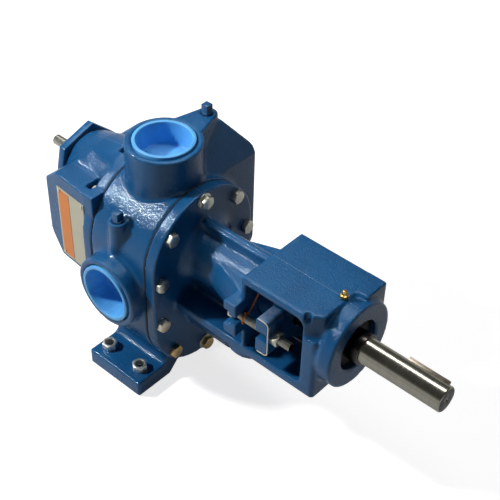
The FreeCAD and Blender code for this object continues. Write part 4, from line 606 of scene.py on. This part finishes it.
BLUE = (0.008, 0.099, 0.266, 1)
BLUE_DEEP = (0.006, 0.074, 0.205, 1)
BLUE_PALE = (0.1, 0.3, 0.55, 1)
CREAM = (0.72, 0.68, 0.55, 1)
ZINC, ZINC_STAIN = (0.66, 0.66, 0.58, 1), (0.42, 0.4, 0.28, 1)
STEEL = (0.5, 0.49, 0.47, 1)
FINISHES = {
    "cast_blue": enamel("cast_blue_enamel", BLUE, BLUE_DEEP, BLUE_PALE),
    "smooth_blue": enamel("smooth_blue_enamel", BLUE, BLUE_DEEP, BLUE_PALE, relief=0.4, depth=0.4),
    "dark_blue": enamel("dark_blue_enamel", (0.008, 0.05, 0.16, 1), (0.006, 0.03, 0.1, 1), BLUE_PALE,
                        relief=0.3, grain=800.0, depth=0.4, waves=0.5),
    "clip_blue": clip_enamel(BLUE, BLUE_DEEP, CREAM),
    "zinc": plated("zinc_plate", ZINC, ZINC_STAIN),
    # Painted light: a lighter copy of the zinc plate, for the foot nuts.
    "lit_nut_zinc": plated("zinc_plate_painted_light", (0.78, 0.8, 0.76, 1), (0.5, 0.48, 0.38, 1), 0.38),
    "bolt_zinc": plated("yellowed_zinc_plate", ZINC, ZINC_STAIN, low_colour=(0.62, 0.4, 0.15, 1)),
    "thread": plated("oiled_thread", (0.42, 0.42, 0.36, 1), (0.2, 0.18, 0.13, 1), 0.32),
    "copper": plated("copper_wire", (0.72, 0.2, 0.06, 1), (0.45, 0.11, 0.04, 1), 0.34),
    "brass": plated("brass", (0.8, 0.52, 0.14, 1), (0.5, 0.3, 0.08, 1), 0.2),
    "key": plated("key_steel", (0.24, 0.21, 0.17, 1), (0.14, 0.12, 0.09, 1), 0.35),
    # Near black spring steel for the snap rings and spring; on the bearing shield in the hub's opening it is
    # painted shade.
    "spring_steel_and_shade": plated("spring_steel_and_painted_shade", (0.035, 0.035, 0.038, 1), (0.02, 0.018, 0.016, 1), 0.55),
    "shaft": ground_shaft(),
    "driven": turned_steel("ground_driven_shaft", (0.62, 0.6, 0.56, 1), 0.16,
                           middle_of("driven_shaft").z),
    "gear": turned_steel("hobbed_gear", STEEL, 0.25, SHAFT_HEIGHT, 1200.0),
    "valve": turned_steel("turned_valve_steel", STEEL, 0.25, VALVE_HEIGHT, 1200.0),
    # The bearing races near black, as painted shade in the hub's opening.
    "race": turned_steel("ground_race_painted_shade", (0.12, 0.12, 0.12, 1), 0.2, SHAFT_HEIGHT, 3600.0, 0.05),
    "graphite": turned_steel("carbon_graphite", (0.07, 0.07, 0.075, 1), 0.35, SHAFT_HEIGHT, 1800.0),
    "plastic": moulded_plastic("moulded_blue_plastic", (0.12, 0.47, 0.88, 1), (0.1, 0.4, 0.8, 1)),
    "gasket": sheet_gasket(),
    "packing": braided_packing(),
    "label": blank_label(),
}
main_shader(FINISHES["graphite"]).inputs["Metallic"].default_value = 0.2


# The pump's pieces

def dress_castings():
    """The painted castings get skins with fillets; small painted pieces get softened edges."""
    cast_skin("gear_case", "casing", FINISHES["cast_blue"], CASE_VOXEL)
    cast_skin("bearing_bracket", "casing", FINISHES["cast_blue"], COVER_VOXEL, 10)
    cast_skin("faceplate", "casing", FINISHES["cast_blue"], COVER_VOXEL)
    machined("relief_cap", "casing", FINISHES["smooth_blue"], 0.9 * MM)
    cast_skin("packing_gland", "gland", FINISHES["smooth_blue"], GLAND_VOXEL, 6)
    machined("adjusting_jam_nut", "casing", FINISHES["smooth_blue"], 0.5 * MM)
    machined("pipe_plugs", "casing", FINISHES["dark_blue"], 0.7 * MM)


def dress_hardware():
    """Bolts, nuts, washers, clips and plates with their edges broken."""
    for node, finish, slot, body, edge in (
            ("flange_bolts", "bolt_zinc", "zinc_steel", "casing", 0.5),
            ("cover_bolts", "zinc", "zinc_steel", "casing", 0.5),
            ("flange_washers", "zinc", "zinc_steel", "casing", 0.3),
            ("foot_nuts", "lit_nut_zinc", "zinc_steel", "casing", 0.6),
            ("gland_bolts", "zinc", "zinc_steel", "casing", 0.5),
            ("gland_nuts", "zinc", "zinc_steel", "gland", 0.6),
            ("gland_clips", "clip_blue", "clip_steel", "gland", 0.3),
            ("grease_fitting", "brass", "brass", "casing", 0.4),
            ("coupling_key", "key", "key_steel", "drive_rotor", 0.3),
            ("drive_shaft", "shaft", "shaft_steel", "drive_rotor", 0.3),
            ("top_port_cap", "plastic", "blue_plastic", "top_cap", 0.8),
            ("side_port_cap", "plastic", "blue_plastic", "side_cap", 0.8),
            ("bearing_shield", "spring_steel_and_shade", "shield_steel", "casing", 0.2),
            ("bearing_inner_race", "race", "bearing_steel", "drive_rotor", 0.3),
            ("bearing_outer_race", "race", "bearing_steel", "casing", 0.3),
            ("label_screws", "zinc", "zinc_steel", "casing", 0.3)):
        machined(node, body, FINISHES[finish], edge * MM)


def paint_hidden_nodes():
    """Nodes that keep their CAD mesh get their own finishes."""
    for node, finish in (
            ("bracket_gasket", "gasket"), ("faceplate_gasket", "gasket"), ("relief_cap_gasket", "gasket"),
            ("drive_bush_front", "graphite"), ("drive_bush_rear", "graphite"),
            ("driven_bush_front", "graphite"), ("driven_bush_rear", "graphite"),
            ("drive_gear", "gear"), ("driven_gear", "gear"), ("drive_gear_key", "key"),
            ("driven_gear_key", "key"), ("driven_shaft", "driven"), ("bearing_balls", "race"),
            ("bearing_cage", "brass"), ("shaft_snap_ring", "spring_steel_and_shade"),
            ("housing_snap_ring", "spring_steel_and_shade"), ("packing_rings", "packing"),
            ("relief_poppet", "valve"), ("spring_guide", "valve"), ("relief_spring", "spring_steel_and_shade"),
            ("label_plate", "label")):
        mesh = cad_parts[node].data
        mesh.materials.clear()
        mesh.materials.append(FINISHES[finish])


def add_threads():
    """Threads on the gland bolts and on the whole of the relief valve's adjusting screw."""
    low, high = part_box("gland_bolts")
    slim_shanks(bpy.data.objects["gland_bolts_finished"].data, GLAND_BOLT_REACH, SHAFT_HEIGHT)
    for name, side in (("near", -1), ("far", 1)):
        screw_thread(f"gland_thread_{name}", "casing", FINISHES["thread"],
                     low.x + BARE_SHANK, high.x, side * GLAND_BOLT_REACH, SHAFT_HEIGHT,
                     BOLT_RADIUS, BOLT_PITCH, BOLT_THREAD_DEPTH)
    start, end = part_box("adjusting_screw")
    screw_thread("adjusting_thread", "screw", FINISHES["zinc"], start.x, end.x,
                 0.0, VALVE_HEIGHT, SCREW_RADIUS, SCREW_PITCH, SCREW_THREAD_DEPTH, ("adjusting_screw",))


def add_tie_wire():
    """The copper wire: a turn round each gland bolt and a run over the shaft between them.

    Each turn is a full circle in the plane across the shaft, drawn out slowly along X; the run
    rises, goes level over the shaft and falls, as a raised cosine of the way across."""
    low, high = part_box("gland_tie_wire")
    place = (low.x + high.x) / 2
    wire = (high.x - low.x) / 2
    loop = BOLT_RADIUS + wire + 0.3 * MM
    loop_lead = 2.4 * wire
    rising_share = 0.55
    turn = np.linspace(0, 2 * np.pi, 40)
    done = turn / turn[-1]
    top = high.z - wire
    loop_up = SHAFT_HEIGHT + loop * np.cos(turn)
    near = np.stack([place - loop_lead * (1 - done), loop * np.sin(turn) - GLAND_BOLT_REACH, loop_up], -1)
    far = np.stack([place + loop_lead * done, loop * np.sin(turn) + GLAND_BOLT_REACH, loop_up], -1)
    across = np.linspace(-1, 1, 60)[1:-1]
    lift = 0.5 - 0.5 * np.cos(np.pi * np.clip((1 - np.abs(across)) / rising_share, 0, 1))
    start = SHAFT_HEIGHT + loop
    run = np.stack([place + 0 * across, GLAND_BOLT_REACH * across, start + (top - start) * lift], -1)
    path = np.concatenate([near, run, far])
    bent_wire("tie_wire", path, wire, "casing", FINISHES["copper"], ("gland_tie_wire",))


# Light, floor and camera

def kinds_of_ray(tree):
    """One for rays from the camera or through glass, and one for rays off gloss; nought for the rest."""
    path = put(tree, "LightPath").outputs
    return math_of(tree, "MAXIMUM", path["Is Camera Ray"], path["Is Transmission Ray"]), path["Is Glossy Ray"]


def lay_floor():
    """A white floor that keeps the pump's shadow, and shows lighter the further off it is."""
    level = CAD_BOX[0].z
    half = 6.0
    corners = [(-half, -half, level), (half, -half, level), (half, half, level), (-half, half, level)]
    floor_mesh = bpy.data.meshes.new("floor")
    floor_mesh.from_pydata(corners, [], [(0, 1, 2, 3)])
    floor = bpy.data.objects.new("floor", floor_mesh)
    bpy.context.scene.collection.objects.link(floor)
    made, tree, shader, place = finish_named("white_floor")
    paper = mix(tree, noise(tree, place, 3.0), (0.54, 0.54, 0.54, 1), (0.58, 0.58, 0.58, 1))
    tree.links.new(paper, shader.inputs["Base Color"])
    shader.inputs["Roughness"].default_value = 0.9
    shader.inputs["Emission Color"].default_value = (1, 1, 1, 1)
    direct, glossy = kinds_of_ray(tree)
    away = put(tree, "VectorMath", {0: place}, operation="LENGTH").outputs["Value"]
    glow = times(tree, direct, stretch(tree, away, 0.6, 2.4, 0.62, 0.85))
    shine = times(tree, math_of(tree, "MAXIMUM", direct, glossy), 0.14)
    tree.links.new(plus(tree, shine, glow), shader.inputs["Emission Strength"])
    floor_mesh.materials.append(made)


def light_world():
    """A white background; gloss sees it white near the ground and darker overhead, and it lights little."""
    ambient = 0.03
    world = bpy.data.worlds.new("studio")
    bpy.context.scene.world = world
    world.use_nodes = True
    tree = world.node_tree
    background = tree.nodes["Background"]
    background.inputs["Color"].default_value = (1, 1, 1, 1)
    direct, glossy = kinds_of_ray(tree)
    height = part_of(tree, tree.nodes.new("ShaderNodeTexCoord").outputs["Generated"], "Z")
    ceiling = times(tree, glossy, stretch(tree, height, 0.02, 0.4, 0.8, 0.06))
    shown = math_of(tree, "MAXIMUM", ceiling, direct)
    tree.links.new(math_of(tree, "MAXIMUM", shown, ambient), background.inputs["Strength"])


def hang_lamps():
    """Three soft lamps above the pump: a key from the left, a small one for the shaft, a broad one."""
    middle = (CAD_BOX[0] + CAD_BOX[1]) / 2
    for name, offset, width, power in (
            ("key_softbox", (-1.08, -0.85, 1.16), 0.14, 27.0),
            ("shaft_softbox", (0.1, 0.5, 1.6), 0.3, 4.0),
            ("top_softbox", (-0.7, 0.3, 1.55), 1.1, 11.0)):
        lamp = bpy.data.lights.new(name, "AREA")
        lamp.size = width
        lamp.energy = power
        holder = bpy.data.objects.new(name, lamp)
        holder.location = middle + Vector(offset)
        holder.rotation_euler = (middle - holder.location).to_track_quat("-Z", "Y").to_euler()
        bpy.context.scene.collection.objects.link(holder)


def set_camera():
    """The camera where the photograph was taken from, as fitted to the pump's known places."""
    place = Vector((0.6982, -0.6656, 0.9881))
    right = Vector((0.7445, 0.6673, 0.0220))
    up = Vector((-0.4529, 0.4806, 0.7510))
    back = Vector((0.4905, -0.5691, 0.6600))
    lens = bpy.data.cameras.new("camera")
    lens.sensor_width = 36.0
    lens.lens = 80.2
    lens.clip_start = 0.01
    camera = bpy.data.objects.new("camera", lens)
    bpy.context.scene.collection.objects.link(camera)
    turn = Matrix((right, up, back)).transposed().to_4x4()
    camera.matrix_world = Matrix.Translation(place) @ turn
    bpy.context.scene.camera = camera


dress_castings()
dress_hardware()
paint_hidden_nodes()
add_threads()
add_tie_wire()
lay_floor()
light_world()
hang_lamps()
set_camera()
bpy.context.scene.view_settings.view_transform = "Standard"
